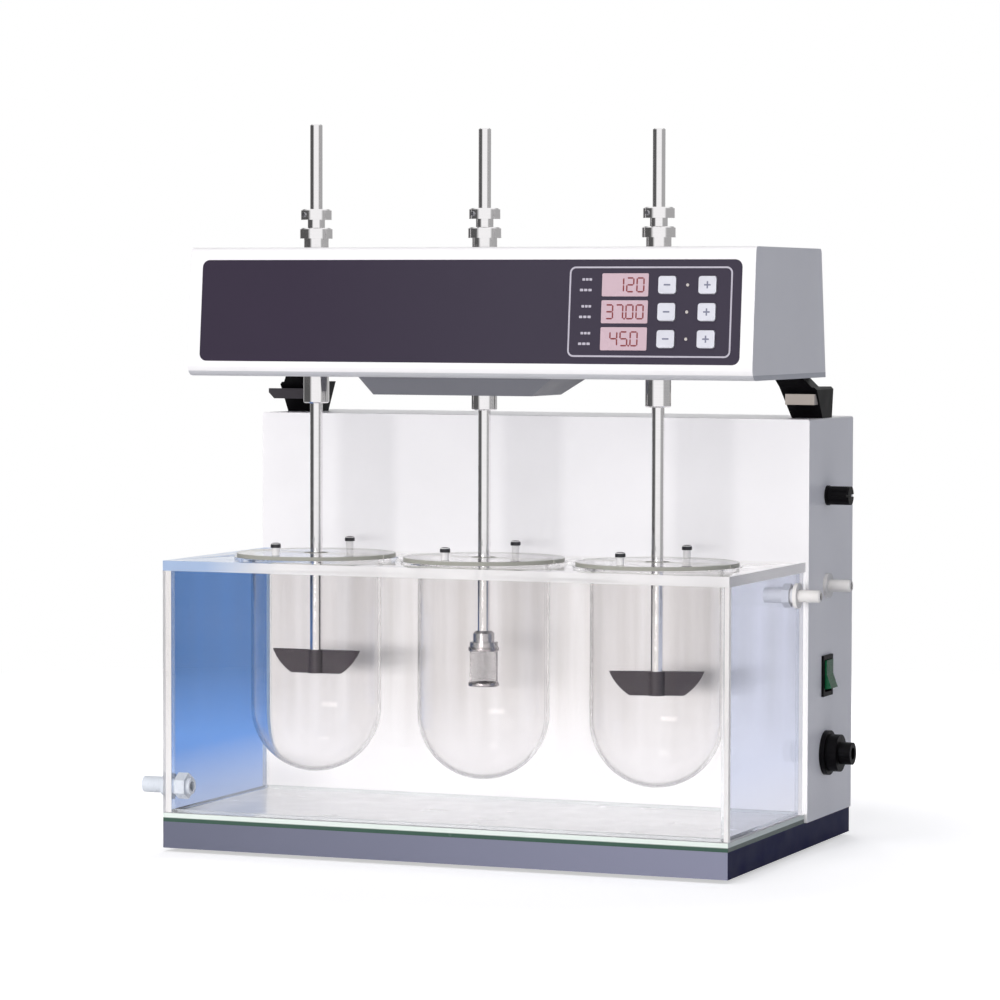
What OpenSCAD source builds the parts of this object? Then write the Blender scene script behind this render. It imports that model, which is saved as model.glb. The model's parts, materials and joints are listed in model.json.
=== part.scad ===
// Dissolution tester with three stirring stations over a clear water bath.
// Plus Z is up, the front faces minus Y, and the origin lies on the floor
// under the middle of the base. All lengths are in millimetres.

/* [Base] */
// Height of the base tray
base_h = 21; // [16:1:32]
// Sheet thickness of the base tray
base_wall = 2; // [1.5:0.5:3]
// How far the feet stand out below the tray
foot_show = 3; // [2:0.5:6]
// Diameter of a rubber foot
foot_d = 32; // [24:1:40]
// Distance from the tray's edges to the middle of a foot
foot_inset = 46; // [36:1:70]

/* [Bath] */
// Thickness of the bath's walls
tank_wall = 5; // [4:0.5:8]
// Thickness of the bath's floor
floor_t = 7; // [5:0.5:12]
// Thickness of the plate that carries the vessels
plate_t = 8; // [6:0.5:12]
// Free height between the bath floor and a vessel
floor_gap = 28; // [15:1:50]
// Plate left between a flange and the bath's front or rear
bath_side = 28; // [20:1:50]
// Plate left between an outer flange and the bath's end
bath_end = 25; // [20:1:60]
// Diameter of the fill hole in the plate
fill_d = 24; // [16:1:30]
// Diameter of the thermometer hole in the plate
probe_d = 11; // [6:0.5:16]

/* [Vessels] */
// Outer diameter of a vessel
vessel_od = 105; // [98:0.5:115]
// Glass thickness of a vessel
vessel_wall = 2; // [1.5:0.25:3.5]
// Length of a vessel from flange to round bottom
vessel_len = 173.5; // [160:0.5:200]
// Width of the flange round the vessel's mouth
flange_rim = 13.5; // [10:0.5:18]
// Thickness of the flange
flange_t = 4; // [3:0.25:6]
// How deep the flange lies sunk in the plate
flange_sink = 3.5; // [1:0.25:4]
// Gap round a vessel in its plate hole
seat_gap = 1; // [0.5:0.1:2]
// Gap between neighbouring flanges
station_gap = 14; // [8:1:40]

/* [Lids] */
// Thickness of a lid
lid_t = 3; // [2:0.5:5]
// How far a lid stays inside its flange
lid_step = 2; // [1:0.5:5]
// Gap between the two halves of a lid
lid_gap = 1.5; // [1:0.25:4]
// Gap round the rod in a lid
lid_rod_gap = 5; // [3:0.5:8]
// Turn of the split line about the rod
lid_turn = 9; // [0:1:20]
// Diameter of a knob's stem
knob_d = 6; // [5:0.5:9]
// Height of a knob above its lid
knob_h = 10; // [8:0.5:16]
// Diameter of a knob's cap
cap_d = 7.5; // [6.5:0.5:12]
// Height of a knob's cap
cap_h = 3.5; // [2:0.5:5]
// Distance from the lid's edge to the middle of a knob
knob_edge = 10; // [7:0.5:20]
// How far the knobs sit to the left of the lid's middle
knob_shift = 3; // [0:0.5:8]

/* [Stirrers] */
// Diameter of a stirring rod
rod_d = 10; // [8:0.5:12]
// Length of rod above its clutch ring
rod_above = 61; // [30:1:120]
// Height of the lowest paddle above the vessel's inner bottom
tip_clear = 70; // [40:1:80]
// How much higher the left rod is set
rise_left = 7; // [0:0.5:15]
// How much higher the middle rod is set
rise_middle = 2; // [0:0.5:15]
// Length of a paddle's upper edge
paddle_top = 74.5; // [70:0.5:76]
// Length of a paddle's lower edge
paddle_low = 42; // [38:0.5:46]
// Height of a paddle blade
paddle_h = 19; // [17:0.5:21]
// Thickness of a paddle blade
paddle_t = 4; // [3:0.25:5]
// Wall of the sleeve that holds the blade on its rod
paddle_sleeve = 1.5; // [1:0.25:3]
// Turn of the left paddle about its rod
turn_left = 2; // [-20:1:40]
// Turn of the right paddle about its rod
turn_right = 18; // [-20:1:40]
// Outer diameter of the basket's rings
basket_d = 24.5; // [20:0.5:28]
// Height of the basket
basket_h = 31; // [27:1:40]
// Thickness of the basket's screen
screen_t = 0.8; // [0.5:0.1:1.5]
// Screen windows round the basket
screen_n = 12; // [8:2:20]
// Rows of screen windows
screen_rows = 5; // [3:1:8]
// Height of the basket's hub
hub_h = 13; // [9:0.5:18]

/* [Spindles] */
// Wall of a spindle tube round its rod
spindle_wall = 2.5; // [2:0.25:4]
// Running clearance on the radius of rods and spindles
fit = 0.05; // [0.02:0.01:0.09]
// Diameter of the collar below the head
collar_d = 20.5; // [18:0.5:26]
// Length of the collar below the head
collar_h = 22; // [14:0.5:28]
// How much longer the middle collar is, below the pan
collar_more = 4; // [0:0.5:8]
// Diameter of the boss on top of the head
boss_d = 20; // [18:0.5:24]
// Height of the boss on top of the head
boss_h = 7.5; // [5:0.5:12]
// Diameter of the driving ring
drive_d = 26.5; // [24:0.5:34]
// Height of the driving ring
drive_h = 8.5; // [6:0.5:12]
// Diameter of the clutch ring
clutch_d = 25; // [22:0.5:34]
// Height of the clutch ring
clutch_h = 8.5; // [6:0.5:12]
// Diameter of the neck under the clutch ring
neck_d = 14; // [13:0.5:18]
// Height of the neck under the clutch ring
neck_h = 6.5; // [4:0.5:10]
// Outer diameter of a spindle bearing
bearing_d = 32; // [28:1:38]
// Width of a spindle bearing
bearing_w = 9; // [7:0.5:12]
// Height of a bearing post inside the head
post_h = 44; // [34:1:50]

/* [Drive] */
// Running diameter of a belt pulley
pulley_d = 44; // [36:1:56]
// How far a pulley's rims stand out
pulley_rim = 3; // [2:0.5:5]
// Width of a drive belt
belt_w = 7; // [5:0.5:8]
// Thickness of a drive belt
belt_t = 2.2; // [1.5:0.1:3]
// Gap between a belt and its pulley
belt_gap = 0.3; // [0.2:0.1:0.6]
// Sideways place of the motor from the middle rod
motor_x = -62; // [-80:1:-50]
// Place of the motor behind the rods
motor_y = 72; // [60:1:85]
// Diameter of the motor
motor_d = 56; // [46:1:64]
// Height of the motor
motor_h = 60; // [40:1:66]
// Diameter of the motor's shaft
shaft_d = 8; // [6:0.5:10]

/* [Head] */
// Height of the head
head_h = 102.5; // [96:0.5:125]
// Depth of the head at its underside
head_d = 187; // [175:1:205]
// Distance from the rods forward to the head's lower front edge
head_reach = 47.5; // [40:0.5:60]
// How far the head's front leans back
front_lean = 9.3; // [4:0.1:14]
// How far the head's rear leans forward
rear_lean = 13; // [6:0.5:18]
// How much wider the head is than the bath
head_over = 3; // [0:0.5:10]
// Wall of the head's housing
head_wall = 2.5; // [2:0.25:4]
// Thickness of the plate that closes the head below
sole_t = 4; // [3:0.5:6]
// Radius of the head's lower front edge
nose_r = 9; // [3:0.5:12]
// Radius of the head's upper edges
crown_r = 4; // [2:0.5:8]
// Height of the pan under the head
pan_h = 14; // [8:0.5:17]
// Width of the pan where it meets the head
pan_w = 164; // [140:1:190]
// Depth of the pan where it meets the head
pan_d = 82; // [66:1:90]
// How far the pan's front, rear and left end slope in
pan_slope = 9; // [4:0.5:14]
// How far the pan's right end slopes in
pan_slope_right = 20; // [4:0.5:24]
// Sheet thickness of the pan
pan_wall = 1.5; // [1:0.25:2.5]
// Sideways place of the pan's middle
pan_x = -12; // [-20:1:20]
// Distance from the pan's front to the rods
pan_reach = 34; // [28:1:44]

/* [Panel] */
// Distance from the head's ends to the fascia
fascia_side = 10.5; // [6:0.5:20]
// Height of the fascia
fascia_h = 81; // [72:0.5:84]
// Distance from the head's lower edge up to the fascia
fascia_low = 12; // [8:0.5:14]
// Thickness of the fascia
fascia_t = 1.5; // [1:0.25:2]
// Corner radius of the fascia
fascia_r = 6; // [2:0.5:10]
// Width of a display window
display_w = 38; // [30:0.5:44]
// Height of a display window
display_h = 17.8; // [12:0.1:19]
// Distance between rows of displays and keys
row_pitch = 20.8; // [20:0.1:23]
// Width of a key
key_w = 14.2; // [10:0.1:18]
// Height of a key
key_h = 13.4; // [9:0.1:18]
// Corner radius of a key
key_r = 2; // [1:0.25:4]
// How far a key stands out
key_out = 1.4; // [1:0.1:3]
// Travel of a key
key_travel = 0.8; // [0.5:0.1:1.2]
// Gap round a key
key_gap = 0.35; // [0.2:0.05:0.6]
// Distance from the fascia's right end to the outer keys
key_edge = 27.4; // [20:0.2:34]
// Distance between the two columns of keys
key_pitch = 32.6; // [28:0.2:40]
// Distance from the inner keys to the displays
display_step = 34.5; // [31:0.5:40]
// Diameter of an indicator lamp
lamp_d = 2.4; // [1.5:0.1:4]

/* [Cabinet] */
// Depth of the cabinet
cab_d = 120; // [100:1:160]
// Height of the cabinet above the base
cab_h = 321; // [300:1:360]
// How much wider the cabinet is than the bath, each side
cab_over = 2; // [0:0.5:6]
// Sheet thickness of the cabinet
cab_wall = 2; // [1.5:0.25:3]
// Gap between the bath and the cabinet
cab_gap = 2; // [0.5:0.5:8]
// Radius of the cabinet's upper edges
cab_r = 2; // [2:0.5:8]
// Distance from the base's rear edge to the cabinet's rear
cab_back = 2; // [0:0.5:6]
// Cooling slots in one column of the rear cover
vent_n = 7; // [3:1:10]

/* [Brackets] */
// Height of the gap between cabinet and head
bracket_h = 33; // [28:1:45]
// Height of a bracket's lower block
block_h = 25; // [20:0.5:27]
// Depth of a bracket's lower block
block_d = 46; // [36:1:60]
// Width of a bracket's lower block at its foot
block_w = 26; // [22:1:36]
// How far the block widens inward on its way up
block_flare = 5; // [0:0.5:10]
// How far the block's front leans forward on its way up
block_lean = 17; // [0:0.5:20]
// How far the block's rear leans back on its way up
block_tail = 4; // [0:0.5:8]
// Distance from the cabinet's side to a bracket
block_in = 3; // [1:0.5:10]
// Depth of a bracket's arm
arm_d = 20; // [16:1:30]
// Width of a bracket's arm
arm_w = 27; // [22:1:30]
// How far the arm's inner side leans inward
arm_lean = 2.5; // [0:0.5:8]
// How far the arm's outer side leans inward
arm_taper = 6; // [0:0.5:10]
// How far the arm leans forward
arm_front = 7; // [2:0.5:10]
// Height of the hinge bar
bar_h = 8.5; // [6:0.5:12]
// Distance of the hinge bar below the block's top
bar_drop = 5.5; // [2:0.5:8]
// How far the left bar stands out past its block
bar_left = 10; // [2:0.5:12]
// How far the right bar ends before its block does
bar_right = 1.5; // [0:0.5:6]

/* [Fittings] */
// Distance of the side fittings behind the cabinet's front
side_y = 48; // [40:1:70]
// Height of the fuse above the base
fuse_z = 259; // [235:1:290]
// Diameter of the fuse cap
fuse_d = 15; // [12:0.5:20]
// Length of the fuse cap
fuse_len = 18; // [12:0.5:26]
// Height of the switch above the base
switch_z = 114; // [105:1:140]
// Height of the switch's frame
switch_h = 33; // [28:0.5:40]
// Width of the switch's frame
switch_w = 25; // [20:0.5:30]
// Turn of the rocker in its rest position
rocker_tilt = 10; // [6:0.5:12]
// Height of the mains inlet above the base
inlet_z = 51.5; // [40:0.5:70]
// Diameter of the mains inlet's flange
inlet_d = 36; // [30:1:44]
// Distance of the bath's hose barb below the vessel plate
barb_drop = 17; // [14:0.5:30]
// How much higher the cabinet's hose barb sits
barb_rise = 3.5; // [0:0.5:20]
// Distance of the bath's hose barb from its rear
barb_rear = 25; // [18:1:40]
// Diameter of a hose tail
barb_d = 10; // [8:0.5:14]
// Length of a hose tail
barb_len = 18; // [14:1:30]
// Bore of a hose barb
barb_bore = 6; // [4:0.5:7]
// Height of the drain above the bath floor
drain_up = 20; // [14:1:30]
// Distance of the drain from the bath's front
drain_in = 18; // [14:1:40]
// Width over the corners of the drain's nuts
drain_d = 21; // [16:0.5:24]

/* [Hidden] */
$fn = 64;

// A small overlap that keeps cuts clean
eps = 0.5;
// Air under a lid that lies loose on its flange
lid_air = 0.02;
// Gap between parts that pass close by each other
slip = 0.5;

// Plan of the stations and the bath
flange_d = vessel_od + 2 * flange_rim;
pitch = flange_d + station_gap;
bath_w = 2 * pitch + flange_d + 2 * bath_end;
tank_d = flange_d + 2 * bath_side;
base_d = tank_d + cab_gap + cab_d;
cab_w = bath_w + 2 * cab_over;
head_w = bath_w + head_over;
y_front = -base_d / 2;
y_rod = y_front + tank_d / 2;
y_bath_end = y_front + tank_d;
y_cab = base_d / 2 - cab_d;
y_back = base_d / 2 - cab_back;
y_side = y_cab + side_y;

// Levels from the floor up
z_base = foot_show;
z_deck = z_base + base_h;
z_wall = z_deck + floor_t;
z_plate = z_wall + floor_gap + vessel_len - flange_t + flange_sink - plate_t;
z_rim = z_plate + plate_t;
z_seat = z_rim - flange_sink;
z_lid = z_seat + flange_t;
z_vessel = z_lid - vessel_len;
z_tip = z_vessel + vessel_wall + tip_clear;
z_cab = z_deck + cab_h;
z_head = z_cab + bracket_h;
z_shell = z_head + sole_t;
z_top = z_head + head_h;
z_boss = z_top;
z_drive = z_boss + boss_h;
z_neck = z_drive + drive_h;
z_clutch = z_neck + neck_h;
z_clutch_top = z_clutch + clutch_h;
z_post = z_shell + post_h;

// Fits of rod, spindle and bearings
bore_d = rod_d + 2 * fit;
spindle_d = rod_d + 2 * spindle_wall;
bearing_bore = spindle_d + 2 * fit;
bearing_seat = bearing_d + 2 * fit;
grip_over = 0.04;
grip_bore = rod_d + grip_over;
post_wall = 5;
post_d = bearing_d + 2 * post_wall;
spindle_air = 3;

// Three belt levels above the bearing posts
belt_side = 0.5;
rim_t = 1.2;
groove_h = belt_w + 2 * belt_side;
level_step = groove_h + rim_t;
z_level = z_post + slip + rim_t;
function z_belt(level) = z_level + level * level_step;

// Head's sloped faces and the local frame of its front
y_nose = y_rod - head_reach;
y_tail = y_nose + head_d;
front_tilt = atan(front_lean / head_h);
rear_tilt = atan(rear_lean / head_h);
function front_y(z, m) = y_nose + (z - z_head) * tan(front_tilt) + m / cos(front_tilt);
function rear_y(z, m) = y_tail - (z - z_head) * tan(rear_tilt) - m / cos(rear_tilt);

// Panel layout in the front's own frame, u to the right and v up the slope
fascia_w = head_w - 2 * fascia_side;
row_mid = fascia_low + fascia_h / 2;
u_outer = fascia_w / 2 - key_edge;
u_inner = u_outer - key_pitch;
u_display = u_inner - display_step;
u_lamp = (u_inner + u_outer) / 2;
function row_v(row) = row_mid + (1 - row) * row_pitch;
window_side = 6;
window_u0 = u_display - display_w / 2 - window_side;
window_u1 = u_outer + key_w / 2 + window_side;
window_h = 2 * row_pitch + max(display_h, key_h) + 3;
key_flange = 0.8;
key_flange_t = 1;
flange_back = 0.25;
board_y = 10;
board_t = 1.6;
switch_t = 1;
stem_d = 5;

// Brackets
arm_rear = 3.5;
y_block = y_tail - arm_rear - arm_d + arm_front;
x_block = cab_w / 2 - block_in;
z_block = z_cab + block_h;

// Fittings
z_fuse = z_deck + fuse_z;
z_switch = z_deck + switch_z;
z_inlet = z_deck + inlet_z;
z_barb = z_plate - barb_drop;
x_side = cab_w / 2;
x_bath = bath_w / 2;
y_barb = y_bath_end - barb_rear;
barb_stem = barb_d + 2;
barb_flange = barb_d + 10;
barb_nut = barb_d + 9;
nut_t = 6;
y_drain = y_front + drain_in;
z_drain = z_wall + drain_up;
drain_stem = drain_d - 8;
fuse_stem = fuse_d - 3;
fuse_bezel = fuse_d + 1;
bezel_t = 2;
rocker_w = switch_w - 6;
rocker_h = switch_h - 6;
rocker_gap = 0.4;
switch_deep = 18;
pivot_in = 3;
pivot_d = 4;
inlet_stub = inlet_d / 2;
inlet_body = inlet_d - 6;
inlet_block = 13;
inlet_out = inlet_block + 10;
cable_d = inlet_stub - 8;
cable_deep = 15;
barb_plate = 3;
// The drain's tail reaches as far out as the inlet does on the other side
drain_out = inlet_out + cab_over;
drain_nut = 7;

// Helpers

function unit(v) = v / norm(v);
// Points of one rounded corner at p, between its neighbours a and b
function round_corner(a, p, b, r, n) =
    let (u = unit(a - p), v = unit(b - p), th = acos(u * v),
         c = p + unit(u + v) * r / sin(th / 2),
         s = p + u * r / tan(th / 2) - c,
         e = p + v * r / tan(th / 2) - c,
         a0 = atan2(s[1], s[0]),
         d0 = atan2(e[1], e[0]) - a0,
         d = d0 > 180 ? d0 - 360 : d0 < -180 ? d0 + 360 : d0)
    [for (i = [0:n]) c + r * [cos(a0 + d * i / n), sin(a0 + d * i / n)]];
// A polygon's points with each corner rounded by its own radius
function round_poly(pts, radii, n = 6) =
    [for (i = [0:len(pts) - 1])
        for (q = radii[i] > 0
            ? round_corner(pts[(i + len(pts) - 1) % len(pts)], pts[i], pts[(i + 1) % len(pts)], radii[i], n)
            : [pts[i]]) q];
function rect(x0, y0, x1, y1) = [[x0, y0], [x1, y0], [x1, y1], [x0, y1]];
function round_rect(w, h, r) = round_poly(rect(-w / 2, -h / 2, w / 2, h / 2), [r, r, r, r]);
// Outline of a loop round two equal circles, a length apart
function loop(len, r, n = 24) = concat(
    [for (i = [0:n]) [r * cos(90 + 180 * i / n), r * sin(90 + 180 * i / n)]],
    [for (i = [0:n]) [len + r * cos(-90 + 180 * i / n), r * sin(-90 + 180 * i / n)]]);

// Draws a flat outline of Y and Z along X, centred
module along_x(w) {
    rotate([90, 0, 90]) translate([0, 0, -w / 2]) linear_extrude(w) children();
}
// Draws a flat outline of X and Z along Y, from y0 to y1
module along_y(y0, y1) {
    translate([0, y1, 0]) rotate([90, 0, 0]) linear_extrude(y1 - y0) children();
}
// Places things at a station, numbered from the left
module at_station(i) {
    translate([(i - 2) * pitch, y_rod, 0]) children();
}
module both_sides() {
    children();
    mirror([1, 0, 0]) children();
}
// The front's own frame: X to the right, Y into the head, Z up the slope
module on_front() {
    translate([0, y_nose, z_head]) rotate([-front_tilt, 0, 0]) children();
}
// A flat outline on the front, from depth d0 to depth d1
module front_slab(d0, d1) {
    on_front() translate([0, d1, 0]) rotate([90, 0, 0]) linear_extrude(d1 - d0) children();
}
// A round bar along X from x0 to x1
module bar_x(x0, x1, d) {
    translate([x0, 0, 0]) rotate([0, 90, 0]) cylinder(d = d, h = x1 - x0);
}
module tube(d, bore, h) {
    difference() {
        cylinder(d = d, h = h);
        translate([0, 0, -eps]) cylinder(d = bore, h = h + 2 * eps);
    }
}
module box(x0, y0, z0, x1, y1, z1) {
    translate([x0, y0, z0]) cube([x1 - x0, y1 - y0, z1 - z0]);
}

// Base and bath

foot_seat = 5;
boss_wide = foot_d + 6;
rib_t = 3;
module foot_places() {
    for (x = [-1, 1], y = [-1, 1])
        translate([x * (bath_w / 2 - foot_inset), y * (base_d / 2 - foot_inset), 0]) children();
}
// Folded tray, open below, with ribs and a boss over each foot
module base_tray() {
    color("#6b6b80") difference() {
        union() {
            difference() {
                box(-bath_w / 2, -base_d / 2, z_base, bath_w / 2, base_d / 2, z_deck);
                box(-bath_w / 2 + base_wall, -base_d / 2 + base_wall, z_base - eps,
                    bath_w / 2 - base_wall, base_d / 2 - base_wall, z_deck - base_wall);
            }
            for (x = [-pitch / 2, pitch / 2])
                box(x - rib_t / 2, -base_d / 2 + base_wall / 2, z_base + foot_seat,
                    x + rib_t / 2, base_d / 2 - base_wall / 2, z_deck - base_wall / 2);
            box(-bath_w / 2 + base_wall / 2, y_cab - rib_t, z_base + foot_seat,
                bath_w / 2 - base_wall / 2, y_cab, z_deck - base_wall / 2);
            foot_places() translate([0, 0, z_base])
                cylinder(d = boss_wide, h = base_h - base_wall / 2);
        }
        foot_places() translate([0, 0, z_base - eps]) cylinder(d = foot_d + 2 * slip, h = foot_seat + eps);
    }
}
module rubber_feet() {
    chamfer = 1.5;
    color("#202024") foot_places() {
        cylinder(d1 = foot_d - 2 * chamfer, d2 = foot_d, h = chamfer);
        translate([0, 0, chamfer]) cylinder(d = foot_d, h = z_base + foot_seat - chamfer);
    }
}
module tank_floor() {
    color("#a8c4b8", 0.6) box(-bath_w / 2, y_front, z_deck, bath_w / 2, y_bath_end, z_wall);
}
module tank_front_wall() {
    color("#d8dcec", 0.4) box(-bath_w / 2, y_front, z_wall, bath_w / 2, y_front + tank_wall, z_plate);
}
module tank_rear_wall() {
    color("#d8dcec", 0.4) box(-bath_w / 2, y_bath_end - tank_wall, z_wall, bath_w / 2, y_bath_end, z_plate);
}
// Left end sheet with the drain hole, right end sheet with the hose hole
module tank_end_walls() {
    color("#8fb0dc", 0.5) {
        difference() {
            box(-bath_w / 2, y_front + tank_wall, z_wall,
                -bath_w / 2 + tank_wall, y_bath_end - tank_wall, z_plate);
            translate([0, y_drain, z_drain])
                bar_x(-bath_w / 2 - eps, -bath_w / 2 + tank_wall + eps, drain_stem + 2 * fit);
        }
        difference() {
            box(bath_w / 2 - tank_wall, y_front + tank_wall, z_wall,
                bath_w / 2, y_bath_end - tank_wall, z_plate);
            translate([0, y_barb, z_barb])
                bar_x(bath_w / 2 - tank_wall - eps, bath_w / 2 + eps, barb_stem + 2 * fit);
        }
    }
}
// Clear plate on the walls, with a stepped hole for each vessel and two small holes
module vessel_plate() {
    color("#eef0f6", 0.5) difference() {
        box(-bath_w / 2, y_front, z_plate, bath_w / 2, y_bath_end, z_rim);
        for (i = [1:3]) at_station(i) {
            translate([0, 0, z_plate - eps]) cylinder(d = vessel_od + 2 * seat_gap, h = plate_t + 2 * eps);
            translate([0, 0, z_seat]) cylinder(d = flange_d + 2 * slip, h = flange_sink + eps);
        }
        for (hole = [[-pitch / 2, fill_d], [pitch / 2, probe_d]])
            translate([hole[0], y_bath_end - bath_side, z_plate - eps])
                cylinder(d = hole[1], h = plate_t + 2 * eps);
    }
}

// Vessels and lids

// Round-bottom glass with a flange that hangs on the plate
module vessel(i) {
    ro = vessel_od / 2;
    ri = ro - vessel_wall;
    z_ball = z_vessel + ro;
    color("#dfe6ea", 0.35) at_station(i) difference() {
        union() {
            translate([0, 0, z_seat]) cylinder(d = flange_d, h = flange_t);
            translate([0, 0, z_ball]) cylinder(r = ro, h = z_lid - z_ball);
            translate([0, 0, z_ball]) sphere(r = ro);
        }
        translate([0, 0, z_ball]) cylinder(r = ri, h = z_lid - z_ball + eps);
        translate([0, 0, z_ball]) sphere(r = ri);
    }
}
module vessel_1() { vessel(1); }
module vessel_2() { vessel(2); }
module vessel_3() { vessel(3); }

lid_d = flange_d - 2 * lid_step;
lid_hole = rod_d + 2 * lid_rod_gap;
// Half of a lid with its knob; side is minus one for the front half
module half_lid(i, side) {
    knob_r = lid_d / 2 - knob_edge;
    at_station(i) rotate([0, 0, -lid_turn]) translate([0, 0, z_lid + lid_air]) {
        color("#e8ecf0", 0.4) difference() {
            cylinder(d = lid_d, h = lid_t);
            translate([0, 0, -eps]) cylinder(d = lid_hole, h = lid_t + 2 * eps);
            translate([-lid_d, side > 0 ? lid_gap / 2 - 2 * lid_d : -lid_gap / 2, -eps])
                cube([2 * lid_d, 2 * lid_d, lid_t + 2 * eps]);
        }
        translate([-knob_shift, side * knob_r, lid_t]) {
            color("#d8dce0", 0.6) cylinder(d = knob_d, h = knob_h - cap_h);
            color("#3a3a3e") translate([0, 0, knob_h - cap_h]) cylinder(d = cap_d, h = cap_h);
        }
    }
}
module lid_1_front() { half_lid(1, -1); }
module lid_1_rear() { half_lid(1, 1); }
module lid_2_front() { half_lid(2, -1); }
module lid_2_rear() { half_lid(2, 1); }
module lid_3_front() { half_lid(3, -1); }
module lid_3_rear() { half_lid(3, 1); }

// Cabinet, its brackets and its side fittings

function cab_outline(m) = round_poly(
    rect(-cab_w / 2 + m, z_deck - (m > 0 ? eps : 0), cab_w / 2 - m, z_cab - m),
    [0, 0, max(cab_r - m, 0.5), max(cab_r - m, 0.5)]);
cover_t = 2;
// Folded cabinet, open below and behind, with holes for the side fittings
module cabinet_shell() {
    color("#f2f2f4") difference() {
        along_y(y_cab, y_back - cover_t) polygon(cab_outline(0));
        along_y(y_cab + cab_wall, y_back) polygon(cab_outline(cab_wall));
        translate([0, y_side, z_fuse]) bar_x(x_side - 2 * cab_wall, x_side + eps, fuse_stem + 2 * fit);
        translate([0, y_side, z_inlet]) bar_x(x_side - 2 * cab_wall, x_side + eps, inlet_stub + 2 * fit);
        translate([0, y_side, z_barb + barb_rise])
            bar_x(x_side - 2 * cab_wall, x_side + eps, barb_stem + 2 * fit);
        box(x_side - 2 * cab_wall, y_side - rocker_w / 2 - 1, z_switch - rocker_h / 2 - 1,
            x_side + eps, y_side + rocker_w / 2 + 1, z_switch + rocker_h / 2 + 1);
    }
}
// Rear cover with two columns of cooling slots
module cabinet_rear_cover() {
    slot_w = 60;
    slot_h = 4;
    slot_pitch = 12;
    slot_x = cab_w / 4;
    slot_low = 60;
    color("#e4e4e8") difference() {
        along_y(y_back - cover_t, y_back) polygon(cab_outline(0));
        for (x = [-slot_x, slot_x], k = [0:vent_n - 1])
            along_y(y_back - cover_t - eps, y_back + eps)
                translate([x, z_deck + slot_low + k * slot_pitch])
                    polygon(round_rect(slot_w, slot_h, slot_h / 2 - 0.1));
    }
}
// Cast blocks on the cabinet, wider and deeper at the top
module bracket_blocks() {
    bevel = 2;
    x0 = x_block - block_w;
    y1 = y_block + block_d;
    color("#18181c") both_sides() intersection() {
        along_y(y_block - eps, y1 + eps)
            polygon([[x0, z_cab], [x_block, z_cab], [x_block, z_block - bevel], [x_block - bevel, z_block],
                [x0 - block_flare, z_block]]);
        along_x(2 * cab_w)
            polygon([[y_block + block_lean, z_cab], [y1 - block_tail, z_cab],
                [y1, z_block], [y_block, z_block]]);
    }
}
// Arms that lean inward and forward from the blocks to the head
module bracket_arms() {
    x0 = x_block - block_w - block_flare;
    x1 = x0 + arm_w;
    y1 = y_block + arm_d;
    color("#141418") both_sides() intersection() {
        along_y(y_block - 2 * arm_front, y1 + eps)
            polygon([[x0, z_block], [x1, z_block], [x1 - arm_taper, z_head], [x0 - arm_lean, z_head]]);
        along_x(2 * cab_w)
            polygon([[y_block, z_block], [y1, z_block],
                [y1 - arm_front, z_head], [y_block - arm_front, z_head]]);
    }
}
// A light bar on a block's leaning front; the lower outer end may be cut away
module hinge_bar(x0, x1, cut) {
    bar_out = 4;
    z1 = z_block - bar_drop;
    z0 = z1 - bar_h;
    y1 = y_block + block_lean * bar_drop / block_h;
    y0 = y1 + block_lean * bar_h / block_h;
    intersection() {
        along_y(y_block - bar_out, y_block + block_lean)
            polygon([[x0, z0], [x1 - cut, z0], [x1, z0 + cut], [x1, z1], [x0, z1]]);
        along_x(2 * cab_w)
            polygon([[y1 - bar_out, z1], [y1 - bar_out, z0], [y0, z0], [y1, z1]]);
    }
}
module hinge_bars() {
    end_cut = 5;
    x0 = x_block - block_w;
    color("#b8b0a8") {
        hinge_bar(x0, x_block - bar_right, 0);
        mirror([1, 0, 0]) hinge_bar(x0, x_block + bar_left, end_cut);
    }
}
fuse_wall = 2;
fuse_bore = fuse_stem - 2 * fuse_wall;
// Fuse holder: bezel outside, body and nut inside
module fuse_holder() {
    body_in = 26;
    nut_d = fuse_d + 5;
    color("#1c1c20") translate([0, y_side, z_fuse]) difference() {
        union() {
            bar_x(x_side, x_side + bezel_t, fuse_bezel);
            bar_x(x_side - body_in, x_side + bezel_t, fuse_stem);
            translate([x_side - cab_wall - nut_t, 0, 0]) rotate([0, 90, 0])
                cylinder(d = nut_d, h = nut_t, $fn = 6);
        }
        bar_x(x_side - body_in + fuse_wall, x_side + bezel_t + eps, fuse_bore);
    }
}
// Cap with a carrier that goes into the holder and a slot for a coin
module fuse_cap() {
    carrier = 16;
    slot_deep = 2;
    slot_wide = 2;
    cap_air = 0.3;
    grooves = 12;
    groove = 1;
    groove_start = 3;
    groove_end = 2;
    color("#101014") translate([0, y_side, z_fuse]) difference() {
        union() {
            bar_x(x_side + bezel_t + cap_air, x_side + bezel_t + fuse_len, fuse_d);
            bar_x(x_side + bezel_t - carrier, x_side + bezel_t + 1, fuse_bore - 2 * fit);
        }
        translate([x_side + bezel_t + fuse_len - slot_deep, -fuse_d, -slot_wide / 2])
            cube([slot_deep + eps, 2 * fuse_d, slot_wide]);
        for (k = [0:grooves - 1]) rotate([k * 360 / grooves, 0, 0])
            translate([x_side + bezel_t + groove_start, -groove / 2, fuse_d / 2 - groove / 2])
                cube([fuse_len - groove_start - groove_end, groove, groove]);
    }
}
// The well's walls lie this far outside and inside the rocker's nominal size
well_out = 1;
well_in = 0.5;
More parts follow.
